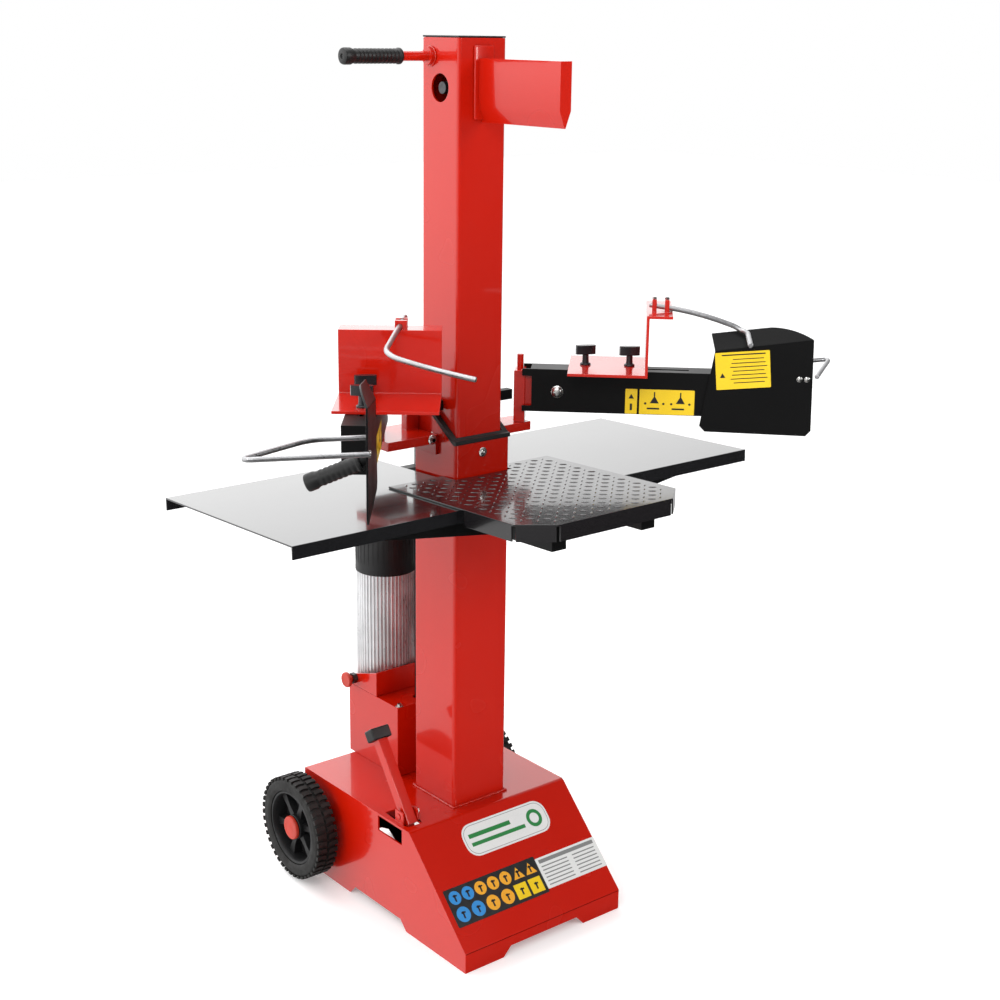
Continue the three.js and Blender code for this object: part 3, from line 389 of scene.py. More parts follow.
def swept(path, radius, sides=16):
    """A round bar along a path, its ends lightly chamfered; radius is a number or a function of the index."""
    thickness = radius if callable(radius) else (lambda index: radius)
    bm = bmesh.new()
    rings = []
    normal = None
    for index, point in enumerate(path):
        before = path[max(index - 1, 0)]
        after = path[min(index + 1, len(path) - 1)]
        tangent = (after - before).normalized()
        if normal is None:
            normal = tangent.orthogonal().normalized()
        normal = (normal - tangent * normal.dot(tangent)).normalized()
        binormal = tangent.cross(normal)
        r = thickness(index)
        rings.append([bm.verts.new(point + (normal * math.cos(a) + binormal * math.sin(a)) * r)
                      for a in (2 * math.pi * i / sides for i in range(sides))])
    for first, second in zip(rings, rings[1:]):
        for i in range(sides):
            j = (i + 1) % sides
            bm.faces.new((first[i], first[j], second[j], second[i]))
    for ring, end, inner in ((rings[0], path[0], path[1]), (rings[-1], path[-1], path[-2])):
        outward = (end - inner).normalized()
        r = (ring[0].co - end).length
        tip_ring = [bm.verts.new(end + (v.co - end) * 0.72 + outward * r * 0.25) for v in ring]
        for i in range(sides):
            j = (i + 1) % sides
            bm.faces.new((ring[i], ring[j], tip_ring[j], tip_ring[i]))
        bm.faces.new(tip_ring)
    return bm


def weld(name, corners, size, body, seed):
    """A hand-run weld bead: overlapping ripples with slightly uneven width."""
    chance = random.Random(SEED + seed)
    path = resampled([Vector(c) for c in corners], 0.9 * MM)
    wobble = [chance.uniform(0.9, 1.1) for _ in path]

    def ripple(index):
        return size * MM * (0.86 + 0.14 * math.sin(index * 1.15)) * wobble[index]

    piece_from(swept(path, ripple, 10), name, RED, body, "red_paint")


def hex_bolt(place, across, height, washer=True, shank=0.0):
    """A hex head with its chamfer and, under it, a plain washer. Local Z points out of the surface."""
    r = across / 2 / math.cos(math.pi / 6)
    hexagon = [(r * math.cos(math.pi / 3 * i), r * math.sin(math.pi / 3 * i)) for i in range(6)]
    lift = across * 0.1 if washer else 0.0
    parts = [prism(hexagon, height, place @ Matrix.Translation((0, 0, lift * MM)), across * 0.05)]
    parts.append(turned([(0, height + lift), (across * 0.42, height + lift),
                         (across * 0.46, height + lift - 0.6), (across * 0.46, lift + height * 0.5),
                         (0, lift + height * 0.5)], place, 30))
    if washer:
        w = across * 0.95
        parts.append(turned([(0, 0), (w, 0), (w, lift * 0.8), (w - 0.4, lift), (0, lift)], place, 36))
    if shank:
        s = across * 0.3
        parts.append(turned([(0, height), (s, height), (s, height + shank - 1), (s - 1, height + shank),
                             (0, height + shank)], place, 24))
    return joined(*parts)


def dome_bolt(place, radius, height):
    """A round bolt head with a small flange."""
    return turned([(0, 0), (radius, 0), (radius, height * 0.25), (radius * 0.86, height * 0.35),
                   (radius * 0.74, height * 0.75), (radius * 0.5, height * 0.95), (0, height)], place, 36)


def bolts(name, heads, body):
    piece_from(joined(*heads), name, ZINC, body, "bright_steel")


# ---------- base ----------
softened("base_housing", 1.3 * MM, rolls=[
    (lambda e: is_sharp(e, 25) and along(e, (1, 0, 0)) and e.calc_length() > 0.3
     and e.verts[0].co.z > 0.1, 3.4 * MM, 4),
    (lambda e: is_sharp(e, 60) and e.verts[0].co.z > 0.03 and e.verts[1].co.z > 0.03
     and e.calc_length() > 0.12 and abs(abs(e.verts[0].co.x) - base_high.x) < 1e-4, 3.0 * MM, 4),
])
softened("axle", 0.8 * MM)

column_half = middle("column_outer").x + (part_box("column_outer")[1].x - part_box("column_outer")[0].x) / 2
foot = base_top + 1.2 * MM
corner = column_half + 1.5 * MM
weld("weld_column_foot", [(-corner, column_y + corner, foot), (-corner, column_y - corner, foot),
                          (corner, column_y - corner, foot), (corner, column_y + corner, foot),
                          (-corner, column_y + corner, foot)], 2.6, "frame", seed=1)


# ---------- columns ----------
def long_corner(edge):
    return is_sharp(edge, 60) and along(edge, (0, 0, 1)) and edge.calc_length() > 0.4


def on_outside(node, edge):
    low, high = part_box(node)
    point = edge.verts[0].co
    return abs(abs(point.x) - high.x) < 1e-4 and min(abs(point.y - low.y), abs(point.y - high.y)) < 1e-4


for tube, radius in (("column_outer", 7.0), ("column_inner", 6.0)):
    softened(tube, 0.7 * MM, rolls=[
        (lambda e, tube=tube: long_corner(e) and on_outside(tube, e), radius * MM, 5),
        (lambda e, tube=tube: long_corner(e) and is_sharp(e, 80) and not on_outside(tube, e), 2.5 * MM, 3),
    ])
softened("column_wiper", 0.8 * MM)
softened("column_cap", 0.9 * MM)
softened("guide_ring", 0.8 * MM)
softened("cylinder_barrel", 0.8 * MM, DARK_STEEL)
softened("cylinder_pin", 1.0 * MM, DARK_STEEL)
softened("piston_rod", 0.8 * MM)

# Adjusting bolts of the slide pads, with their lock nuts.
outer_low, outer_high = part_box("column_outer")
pad_bolts = [
    frame_at((0, outer_low.y, 0.867), (0, -1, 0)),
    frame_at((outer_low.x, column_y + 7 * MM, 0.890), (-1, 0, 0)),
    frame_at((outer_high.x, column_y + 7 * MM, 0.890), (1, 0, 0)),
    frame_at((0, outer_high.y, 0.890), (0, 1, 0)),
]
bolts("slide_pad_bolts", [hex_bolt(place, 9, 3.5, True, 3) for place in pad_bolts], "frame")

# ---------- wedge ----------
wedge_low, wedge_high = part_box("wedge")
wedge_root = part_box("column_inner")[0].y
wedge_profile = [(-11.5, 102), (-11.5, 27), (-0.9, 0), (0.9, 0), (11.5, 27), (11.5, 102)]
wedge_place = Matrix.Translation((0, wedge_root, wedge_low.z)) @ Matrix.Rotation(math.radians(90), 4, "X")
wedge = prism(wedge_profile, (wedge_root - wedge_low.y) / MM, wedge_place, 0.7, 2)
piece_from(wedge, "body_wedge", RED, stands_for="wedge")
pad = block((-20 * MM, wedge_root - 5.6 * MM, wedge_low.z + 4 * MM),
            (20 * MM, wedge_root, wedge_high.z + 10 * MM), 2.4, 4)
piece_from(pad, "wedge_weld_pad", RED, "mast", "red_paint")


# ---------- grips and handles ----------
def grip(name, node, place, length):
    """A moulded hand grip: collar, ribbed waist, fat rounded end with a centre dimple."""
    profile = [(8.4, 0), (12.4, 0), (13.2, 1.2), (13.2, 4.5), (11.6, 6.5)]
    ribs = int((length - 34) / 7)
    step = (length - 30) / ribs
    for i in range(ribs):
        start = 8 + i * step
        profile += [(11.3, start), (12.1, start + step * 0.25), (12.1, start + step * 0.65),
                    (11.3, start + step * 0.9)]
    profile += [(11.6, length - 19), (13.4, length - 15), (13.4, length - 4), (12.6, length - 1.4),
                (10.6, length - 0.2), (4.2, length), (3.6, length - 1.6), (0, length - 1.8)]
    piece_from(turned(profile, place, 40), name, RUBBER, stands_for=node)


handle_low, handle_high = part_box("transport_grip")
grip_place = frame_at((handle_high.x, middle("transport_grip").y, middle("transport_grip").z), (-1, 0, 0))
grip("grip_transport", "transport_grip", grip_place, (handle_high.x - handle_low.x) / MM)
softened("transport_handle", 0.9 * MM)
boss = middle("transport_handle")
ring = [Vector((-51.4 * MM, boss.y + 15 * MM * math.cos(a), boss.z + 15 * MM * math.sin(a)))
        for a in (2 * math.pi * i / 40 for i in range(41))]
weld("weld_handle", ring, 1.8, "mast", seed=3)


# ---------- wheels ----------
def tyre(name, node, side):
    """Carcass with a moulded shoulder and two staggered rows of tread blocks."""
    centre = middle(node)
    place = frame_at(centre, (side, 0, 0))
    half = 22.6
    profile = [(72.2, -half + 3), (76, -half + 0.8), (82, -half + 0.2), (86, -half + 1.0), (88, -half + 0.5),
               (92, -half + 1.4), (95, -half + 4), (96.2, -half + 8), (96.4, -1.4), (95.4, -0.8),
               (95.4, 0.8), (96.4, 1.4), (96.2, half - 8), (95, half - 4), (92, half - 1.4),
               (88, half - 0.5), (86, half - 1.0), (82, half - 0.2), (76, half - 0.8), (72.2, half - 3),
               (72.2, -half + 3)]
    bm = turned(profile, place, 96)
    count = 42
    for row in (-1, 1):
        for i in range(count):
            angle = 2 * math.pi * (i + (0.25 if row > 0 else 0)) / count
            width = 2 * math.pi * 100 / count * 0.7
            lug = [(-width / 2, 2.2), (-width / 2 + 2.0, 12), (-width / 2, 21.6), (width / 2 - 2, 21.6),
                   (width / 2, 12), (width / 2 - 2, 2.2)]
            lug = [(x, y * row) for x, y in lug]
            if row < 0:
                lug.reverse()
            turn = Matrix.Rotation(angle, 4, "Z")
            stand = place @ turn @ Matrix((
                (0, 0, 1, 94.6 * MM), (1, 0, 0, 0), (0, 1, 0, 0), (0, 0, 0, 1)))
            joined(bm, prism(lug, 5.1, stand, 0.7, 1))
    piece_from(bm, name, TYRE, stands_for=node)


def rim(name, node, side):
    """Moulded rim: stepped hoop, dished web and six ribbed spokes round a hub."""
    centre = middle(node)
    place = frame_at(centre, (side, 0, 0))
    bm = turned([(71.6, -18.6), (71.6, 18.4), (70.6, 19.4), (67.4, 19.4), (66.2, 18), (65, 8), (65, -17),
                 (66, -18.6), (71.6, -18.6)], place, 72)
    hub = turned([(9.6, -20), (18, -20), (20, -18), (23.6, 6), (23.6, 13), (22.6, 14), (9.6, 14), (9.6, -20)],
                 place, 48)
    web = turned([(18, -9), (54, -12), (66, -14), (66, -11.5), (54, -9.5), (18, -6), (18, -9)], place, 72)
    joined(bm, hub, web)
    for i in range(6):
        turn = place @ Matrix.Rotation(math.radians(60 * i + 12), 4, "Z")
        spoke = [(42, -5.2), (68, -8.5), (68, 8.5), (42, 5.2), (20, 7.5), (20, -7.5)]
        joined(bm, prism(spoke, 17, turn @ Matrix.Translation((0, 0, -10.5 * MM)), 1.4, 2))
    piece_from(bm, name, PLASTIC, stands_for=node)


for label, side in SIDES.items():
    tyre("tyre_tread_" + label, "tyre_" + label, side)
    rim("rim_spokes_" + label, "rim_" + label, side)
    cap_low, cap_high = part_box("hub_cap_" + label)
    cap_centre = middle("hub_cap_" + label)
    inner = cap_low.x if side > 0 else cap_high.x
    depth = (cap_high.x - cap_low.x) / MM
    cap_profile = [(0, 0), (22.7, 0), (22.7, depth - 2.6), (21.8, depth - 1.2), (19, depth - 0.5),
                   (16.6, depth - 1.0), (8, depth - 0.5), (0, depth - 0.2)]
    cap_place = frame_at((inner, cap_centre.y, cap_centre.z), (side, 0, 0))
    cap = turned(cap_profile, cap_place, 56)
    piece_from(cap, "hub_cap_dome_" + label, RED_PLASTIC, stands_for="hub_cap_" + label)


# ---------- motor ----------
motor_low, motor_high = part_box("motor_body")
motor_axis = middle("motor_body")
motor_place = Matrix.Translation((0, motor_axis.y, motor_low.z))
motor_height = (motor_high.z - motor_low.z) / MM


def finned_body():
    """Extruded housing: close straight fins with rounded tips over the whole height."""
    fins = 48
    outline = []
    for i in range(fins):
        middle_angle = 2 * math.pi * i / fins
        pitch = 2 * math.pi / fins
        for offset, r in ((-0.40, 53.6), (-0.32, 53.9), (-0.24, 56.2), (-0.15, 56.7),
                          (0.15, 56.7), (0.24, 56.2), (0.32, 53.9), (0.40, 53.6)):
            angle = middle_angle + offset * pitch
            outline.append((r * math.cos(angle), r * math.sin(angle)))
    return prism(outline, motor_height - 0.4, motor_place @ Matrix.Translation((0, 0, 0.2 * MM)))


piece_from(finned_body(), "motor_fins", ALUMINIUM, stands_for="motor_body")
cowl_low, cowl_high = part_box("motor_cowl")
cowl_place = Matrix.Translation((0, motor_axis.y, cowl_low.z))
cowl_height = (cowl_high.z - cowl_low.z) / MM
cowl_r = (cowl_high.x - cowl_low.x) / 2 / MM
cowl = turned([(cowl_r - 1.6, 0), (cowl_r - 0.3, 0), (cowl_r - 0.1, 1), (cowl_r - 0.4, 16),
               (cowl_r - 1.2, cowl_height - 12), (cowl_r - 3.6, cowl_height - 5),
               (cowl_r - 8.4, cowl_height - 1), (cowl_r - 14, cowl_height), (0, cowl_height),
               (0, cowl_height - 2.4), (cowl_r - 10, cowl_height - 3), (cowl_r - 4, cowl_height - 12),
               (cowl_r - 3.4, 2), (cowl_r - 1.6, 0)], cowl_place, 96)
for i in range(36):
    turn = cowl_place @ Matrix.Rotation(2 * math.pi * i / 36, 4, "Z")
    rib_outline = [(cowl_r - 2, -1.1), (cowl_r - 0.2, -0.9), (cowl_r - 0.2, 0.9), (cowl_r - 2, 1.1)]
    rib = prism(rib_outline, cowl_height - 38, turn @ Matrix.Translation((0, 0, 20 * MM)), 0.4, 1)
    joined(cowl, rib)
for radius in (14, 22, 30, 38):
    ridge = [(radius - 1.6, cowl_height - 0.6), (radius - 1.4, cowl_height - 0.1),
             (radius + 1.4, cowl_height - 0.1), (radius + 1.6, cowl_height - 0.6)]
    joined(cowl, turned(ridge, cowl_place, 64))
piece_from(cowl, "cowl_ribs", PLASTIC, stands_for="motor_cowl")
softened("motor_rotor", 0.6 * MM)

softened("motor_seat", 1.1 * MM, rolls=[
    (lambda e: is_sharp(e, 20) and along(e, (0, 0, 1)) and e.calc_length() > 0.015
     and (e.verts[0].co - motor_axis).to_2d().length > 0.1, 3.0 * MM, 3)])
softened("pump_housing", 1.1 * MM, rolls=[
    (lambda e: is_sharp(e, 60) and e.calc_length() > 0.12 and e.calc_length() < 0.17
     and (along(e, (0, 0, 1)) or along(e, (1, 0, 0))), 2.6 * MM, 4)])
softened("pump_block", 1.4 * MM)

pump_low, pump_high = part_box("pump_housing")
housing_corner = Matrix.Translation((pump_low.x + 9 * MM, pump_low.y + 7 * MM, pump_high.z))
bolts("housing_bolt", [hex_bolt(housing_corner, 8, 4)], "frame")

# Tank filler: a hexagonal collar on the housing and a red plug with a round head.
plug_low, plug_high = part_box("filler_cap")
plug_place = frame_at((plug_high.x, middle("filler_cap").y, middle("filler_cap").z), (-1, 0, 0))
plug_length = (plug_high.x - plug_low.x) / MM
plug = turned([(0, plug_length - 16), (6.5, plug_length - 16), (6.5, plug_length - 7.4),
               (14, plug_length - 7.2), (14.9, plug_length - 6), (14.9, plug_length - 1.6),
               (13.6, plug_length - 0.2), (8, plug_length - 0.8), (0, plug_length - 0.8)], plug_place, 40)
piece_from(plug, "tank_plug", RED_PLASTIC, stands_for="filler_cap")
piece_from(hex_bolt(plug_place, 18.5, 9, False), "tank_collar", DARK_STEEL, "frame", "bright_steel")

# ---------- switch box ----------
softened("switch_box", 1.8 * MM, segments=3)
switch_low, switch_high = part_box("switch_box")
lid = block((switch_high.x - 8 * MM, switch_low.y + 3 * MM, switch_low.z + 4 * MM),
            (switch_high.x + 1.0 * MM, switch_high.y - 3 * MM, switch_high.z - 4 * MM), 2.5, 3)
piece_from(lid, "switch_lid", PLASTIC, "frame", "black_plastic")
lid_screws = [frame_at((switch_high.x + 0.9 * MM, y, z), (1, 0, 0))
              for y in (switch_low.y + 9 * MM, switch_high.y - 9 * MM)
              for z in (switch_low.z + 11 * MM, switch_high.z - 11 * MM)]
bolts("switch_lid_screws", [dome_bolt(place, 3.2, 1.6) for place in lid_screws], "frame")
for node, finish in (("start_button", GREEN), ("stop_button", RED_PLASTIC)):
    low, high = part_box(node)
    centre = middle(node)
    height = (high.z - low.z) / MM
    shape = [(0, 0), (7.8, 0), (8, 0.4), (8, height - 2), (7.2, height - 0.5), (5, height - 0.6),
             (0, height - 1.6)]
    piece_from(turned(shape, Matrix.Translation((centre.x, centre.y, low.z)), 40), node + "_cap", finish,
               stands_for=node)
    collar = turned([(8.6, 0), (11.5, 0), (11.5, 1.6), (10.6, 2.6), (8.6, 2.6), (8.6, 0)],
                    Matrix.Translation((centre.x, centre.y, switch_high.z)), 40)
    piece_from(collar, node + "_collar", PLASTIC, "frame", "black_plastic")
inlet_low, inlet_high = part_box("power_inlet")
inlet = middle("power_inlet")
inlet_place = frame_at((inlet.x, inlet.y, inlet_high.z), (0, 0, -1))
inlet_height = (inlet_high.z - inlet_low.z) / MM
shell = turned([(0, 0), (17, 0), (17, 3), (16, 3.6), (16, inlet_height - 4), (17, inlet_height - 3),
                (17, inlet_height), (14.2, inlet_height), (14, 14), (0, 14), (0, 0)], inlet_place, 48)
piece_from(shell, "inlet_shell", PLASTIC, stands_for="power_inlet")
pins = [turned([(0, 12), (2.3, 12), (2.3, 27), (1.6, 29), (0, 29)],
               inlet_place @ Matrix.Translation((7 * MM * math.cos(a), 7 * MM * math.sin(a), 0)), 16)
        for a in (math.radians(v) for v in (90, 210, 330))]
piece_from(joined(*pins), "inlet_pins", ZINC, "frame", "bright_steel")


# ---------- table ----------
for label in SIDES:
    softened("wing_" + label, 0.8 * MM, BLACK_GLOSS)
softened("tread_plate", 0.9 * MM, TREAD_BLACK)
softened("table_frame", 1.2 * MM, BLACK_SATIN)

table_tilt = math.radians(2.3)
table_place = Matrix.Translation((0, column_y - 0.224, 0.831)) @ Matrix.Rotation(-table_tilt, 4, "X")


def on_table(x, y, z=0.0):
    """A point of the tilted table: y back from the wings' front edge, z above the wings, in millimetres."""
    return table_place @ Vector((x * MM, y * MM, z * MM))


def tread_lozenges():
    """Raised lens-shaped bars, each at right angles to its neighbours."""
    bm = bmesh.new()
    pitch, edge_margin = 19.0, 11.5
    length, width, height = 8.4, 2.3, 0.9
    places = [(column * pitch, row * pitch + 10, (row + column) % 2)
              for row in range(-10, 11) for column in range(-10, 11)]
    for x, y, kind in places:
        if not inside_tread(x, y, edge_margin):
            continue
        angle = math.radians(45 if kind else -45)
        ring = []
        for i in range(12):
            a = 2 * math.pi * i / 12
            lx, ly = length * math.cos(a), width * math.sin(a) * (1 - 0.45 * abs(math.cos(a)))
            px = x + lx * math.cos(angle) - ly * math.sin(angle)
            py = y + lx * math.sin(angle) + ly * math.cos(angle)
            ring.append((px, py, lx, ly))
        base = [bm.verts.new(on_table(px, py, 3.0)) for px, py, _, _ in ring]
        crown = [bm.verts.new(on_table(x + (px - x) * 0.55, y + (py - y) * 0.55, 3.3 + height))
                 for px, py, _, _ in ring]
        for i in range(12):
            j = (i + 1) % 12
            bm.faces.new((base[i], base[j], crown[j], crown[i]))
        bm.faces.new(crown)
    return bm


def inside_tread(x, y, margin):
    """Whether a place is on the plate, which has cut front corners and a rear notch for the column."""
    half, side_end, front_end, rear_end = 177, -134, -181, 198
    corner_start, notch_half, notch_front = 124, 63, 160
    if abs(x) > half - margin or y > rear_end - margin or y < front_end + margin:
        return False
    if abs(x) < notch_half + margin and y > notch_front - margin:
        return False
    if abs(x) <= corner_start - margin:
        return True
    slope = (side_end - front_end) / (half - corner_start)
    return y > front_end + (abs(x) - corner_start) * slope + margin * 1.3


piece_from(tread_lozenges(), "tread_pattern", TREAD_BLACK, "frame", "black_paint", smooth_angle=60)

table_bolts = [frame_at(on_table(x, -0.5, -29), (0, -1, 0)) for x in (-143, 143)]
bolts("table_bolts", [hex_bolt(place, 8, 4) for place in table_bolts], "frame")


# ---------- arms ----------
def arm_matrix(label):
    """The frame of an arm: X outwards along the arm, Y away from the log, Z up."""
    swing = JOINTS["arm_swing_" + label]["pos_m"]
    slide = Vector(JOINTS["claw_slide_" + label]["axis"])
    out = Vector((0, 0, 1)).cross(slide) * SIDES[label]
    rotation = Matrix((slide, out, Vector((0, 0, 1)))).transposed().to_4x4()
    return Matrix.Translation((swing[0], swing[1], 0)) @ rotation


def arm_point(label, u, away, z):
    return arm_matrix(label) @ Vector((u * MM, away * MM, z * MM))


def arm_direction(label, u, away, z):
    return (arm_matrix(label).to_3x3() @ Vector((u, away, z))).normalized()


# Places on the arms, in millimetres in the arm's frame.
PIVOT_ALONG, PIVOT_HEIGHT = 68, 957
CHANNEL_FACE, GUARD_FACE = 25, 28.4
GRIP_SHIFT = {"left": 16, "right": 0}
HOOP_REACH = {"left": 149.8, "right": 138}
HOOP_BEND = 24 * MM
CLAW_TOP, ROD_CLAMP_TOP = 1002.6, 1127.5
KNOB_DISTANCES = (32, 110)
ROD_BOW = {"left": -2.5, "right": 7}
for label, side in SIDES.items():
    shift = GRIP_SHIFT[label]
    softened("arm_support_" + label, 1.3 * MM)
    softened("swing_bracket_" + label, 1.3 * MM)
    softened("arm_channel_" + label, 0.8 * MM)
    softened("guard_plate_" + label, 0.7 * MM)
    softened("claw_" + label, 0.8 * MM)

    # Pivot bolt: a domed head with a nut and washer on the far side.
    body = "swing_" + label
    head_seat, nut_seat, shank_start, shank_end = (
        arm_point(label, PIVOT_ALONG, away, PIVOT_HEIGHT) for away in (-25.3, 25.3, -25, 25))
    near = dome_bolt(frame_at(head_seat, arm_direction(label, 0, -1, 0)), 11, 7)
    far = hex_bolt(frame_at(nut_seat, arm_direction(label, 0, 1, 0)), 17, 8, True, 4)
    shank = swept([shank_start, shank_end], 5.9 * MM, 24)
    piece_from(joined(near, far, shank), "pivot_bolt_set_" + label, ZINC, stands_for="pivot_bolt_" + label)

    # Two bolts hold the grip stub to the guard.
    heads = [frame_at(arm_point(label, u + shift, -GUARD_FACE, z), arm_direction(label, 0, -1, 0))
             for u, z in ((492, 992), (505, 992))]
    bolts("guard_bolts_" + label, [dome_bolt(place, 5, 3.5) for place in heads], "arm_" + label)

    # Hoop: a bent wire handle guard.
    corners = [arm_point(label, u + shift, away, z) for u, away, z in (
        (430, -24.1, 1000), (449, 61, 1000), (562, HOOP_REACH[label], 998), (521.5, -30, 998))]
    wire = resampled(smooth_path(corners, HOOP_BEND, 8), 12 * MM)
    piece_from(swept(wire, 4 * MM, 16), "hoop_wire_" + label, ROD_STEEL, stands_for="hoop_rod_" + label)

    # Grip on its slanted stub.
    direction = Vector((-0.03, 0.92, -0.39)).normalized()
    root = Vector((497 + shift, -25.8, 984)) + direction * 10
    place = frame_at(arm_point(label, *root), arm_direction(label, *direction))
    grip("grip_" + label, "arm_grip_" + label, place, 86)

claw_rods = {
    "left": ((104, -60, 1119), (257, -34, 1087), (306, -178, 1058)),
    "right": ((226, -28, 1117), (397, -28, 1074), (393, -167.6, 1076)),
}
claw_plates = {"left": (150, 1), "right": (226, -1)}
for label, corners in claw_rods.items():
    # The rod is bent once, and one of its legs bows a little.
    path = resampled(smooth_path([arm_point(label, *c) for c in corners], 26 * MM, 12), 8 * MM)
    half = len(path) // 2
    bowed_leg = range(1, half) if label == "right" else range(half + 2, len(path) - 1)
    for i in bowed_leg:
        share = (i - bowed_leg.start + 1) / (len(bowed_leg) + 1)
        path[i].z += ROD_BOW[label] * MM * math.sin(math.pi * share)
    piece_from(swept(path, 4.5 * MM, 18), "claw_wire_" + label, ROD_STEEL, stands_for="claw_rod_" + label)
    plate, direction = claw_plates[label]
    for i, distance in enumerate(KNOB_DISTANCES):
        u = plate + direction * distance
        node = f"claw_knob_{label}_{i + 1}"
        seat = Matrix.Translation(arm_point(label, u, 0, CLAW_TOP))
        lie = 8 + 9 * i if label == "right" else 82 + 12 * i
        turn = arm_matrix(label).to_3x3().to_4x4() @ Matrix.Rotation(math.radians(lie), 4, "Z")
        stem = turned([(0, -21), (3.7, -21), (3.9, -20), (3.9, 0), (9.5, 0), (9.5, 2.2), (8.6, 3.2), (6.4, 4),
                       (5.8, 8), (5.6, 18), (7.6, 20), (0, 22)], seat, 32)
        wing = [(-17, -4.4), (-9, -6.2), (9, -6.2), (17, -4.4), (18.5, 0), (17, 4.4), (9, 6.2), (-9, 6.2),
                (-17, 4.4), (-18.5, 0)]
        bar = prism(wing, 16, seat @ turn @ Matrix.Translation((0, 0, 19 * MM)), 2.6, 3)
        piece_from(joined(stem, bar), "wing_knob_" + node[10:], SHINY_PLASTIC, stands_for=node)

# Set screws in the two clamps that hold the right bent rod.
clamp_offset = claw_rods["right"][0][1]
clamp_screws = [frame_at(arm_point("right", u, clamp_offset, ROD_CLAMP_TOP), (0, 0, 1)) for u in (234, 256)]
bolts("clamp_screws", [hex_bolt(place, 7, 3, False) for place in clamp_screws], "claw_right")

softened("control_yoke", 1.0 * MM, BLACK_SATIN)

# ---------- foot lever ----------
softened("foot_lever", 1.2 * MM)
softened("foot_lever_cap", 3.2 * MM, segments=4)
lever_pivot = Vector(JOINTS["foot_lever_tilt"]["pos_m"])
lever_end = frame_at(lever_pivot + Vector((18.6 * MM, 0, 0)), (1, 0, 0))
bolts("foot_lever_nut", [hex_bolt(lever_end, 10, 5)], "frame")

# The left arm support is bolted through its front face.
support_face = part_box("arm_support_left")[0].y
support_bolt = frame_at((-74 * MM, support_face, 0.890), (0, -1, 0))
bolts("support_bolt", [hex_bolt(support_bolt, 9, 4)], "frame")


# ---------- labels ----------
def tag(name, place, width, height, radius, material, body, thickness=0.35):
    film = prism(rounded_outline(width, height, radius), thickness, place)
    piece_from(film, name, material, body, "black_plastic")


def marks(name, place, shapes, material, body, lift=0.3):
    """Flat printed marks, each an outline in the label's own plane."""
    films = [prism(shape, 0.16, place @ Matrix.Translation((0, 0, lift * MM))) for shape in shapes]
    piece_from(joined(*films), name, material, body, "black_plastic")


def bar(x, y, width, height):
    return [(x - width / 2, y - height / 2), (x + width / 2, y - height / 2), (x + width / 2, y + height / 2),
            (x - width / 2, y + height / 2)]


def disc(x, y, radius, sides=28):
    return [(x + radius * math.cos(2 * math.pi * i / sides), y + radius * math.sin(2 * math.pi * i / sides))
            for i in range(sides)]


def triangle(x, y, size):
    return [(x - size, y - size * 0.8), (x + size, y - size * 0.8), (x, y + size * 0.9)]


slope_top = Vector((0, column_y - 88 * MM, 203 * MM))
slope_foot = Vector((0, base_low.y, 38 * MM))
down_slope = (slope_foot - slope_top).normalized()
slope_normal = Vector((1, 0, 0)).cross(-down_slope).normalized()
if slope_normal.z < 0:
    slope_normal.negate()


def on_slope(x, down):
    """A label frame on the sloped front: local Y points up the slope."""
    origin = slope_top + Vector((x * MM, 0, 0)) + down_slope * down * MM + slope_normal * 0.02 * MM
    rotation = Matrix((Vector((1, 0, 0)), -down_slope, slope_normal)).transposed().to_4x4()
    return Matrix.Translation(origin) @ rotation


badge = on_slope(13, 52)
tag("badge_plate", badge, 195, 62, 24, WHITE_INK, "frame")
marks("badge_border", badge, [rounded_outline(188, 55, 21)], GREY_INK, "frame", 0.22)
marks("badge_field", badge, [rounded_outline(186, 53, 20)], WHITE_INK, "frame", 0.30)
marks("badge_leaf", badge, [disc(66, 0, 17)], GREEN_INK, "frame", 0.38)
marks("badge_leaf_middle", badge, [disc(66, 0, 10)], WHITE_INK, "frame", 0.44)
marks("badge_bars", badge, [bar(-36, 8, 96, 8), bar(-22, -8, 124, 7)], GREEN_INK, "frame", 0.38)

strip = on_slope(-66, 153)
tag("sign_strip", strip, 208, 70, 3, BLACK_INK, "frame")
upper_row = (BLUE_INK, BLUE_INK, ORANGE_INK, ORANGE_INK, ORANGE_INK, ORANGE_INK, ORANGE_INK)
lower_row = (BLUE_INK, BLUE_INK, ORANGE_INK, ORANGE_INK, YELLOW_INK, YELLOW_INK)
for row, (inks, y, pitch, size) in enumerate(((upper_row, 17, 28.6, 12.4), (lower_row, -15, 33.4, 14))):
    for i, ink in enumerate(inks):
        x = (i - (len(inks) - 1) / 2) * pitch
        if row == 0 and i > 4:
            shape = triangle(x, y, size)
        else:
            shape = disc(x, y, size) if i < 5 - row else bar(x, y, size * 2, size * 2)
        marks(f"sign_field_{row}_{i}", strip, [shape], ink, "frame", 0.30)
        sign = [bar(x, y - 1, 3.5, 13), bar(x + 1, y + 3, 9, 3)]
        marks(f"sign_mark_{row}_{i}", strip, sign, BLACK_INK, "frame", 0.42)

plate = on_slope(110, 153.5)
tag("data_plate", plate, 144, 59, 2, WHITE_INK, "frame")
lines = [bar(0, 22, 132, 7)] + [bar(-34, 12 - 7 * i, 62, 2.2) for i in range(6)]
lines += [bar(36, 12 - 7 * i, 54, 2.2) for i in range(6)]
marks("data_plate_rows", plate, lines, GREY_INK, "frame")

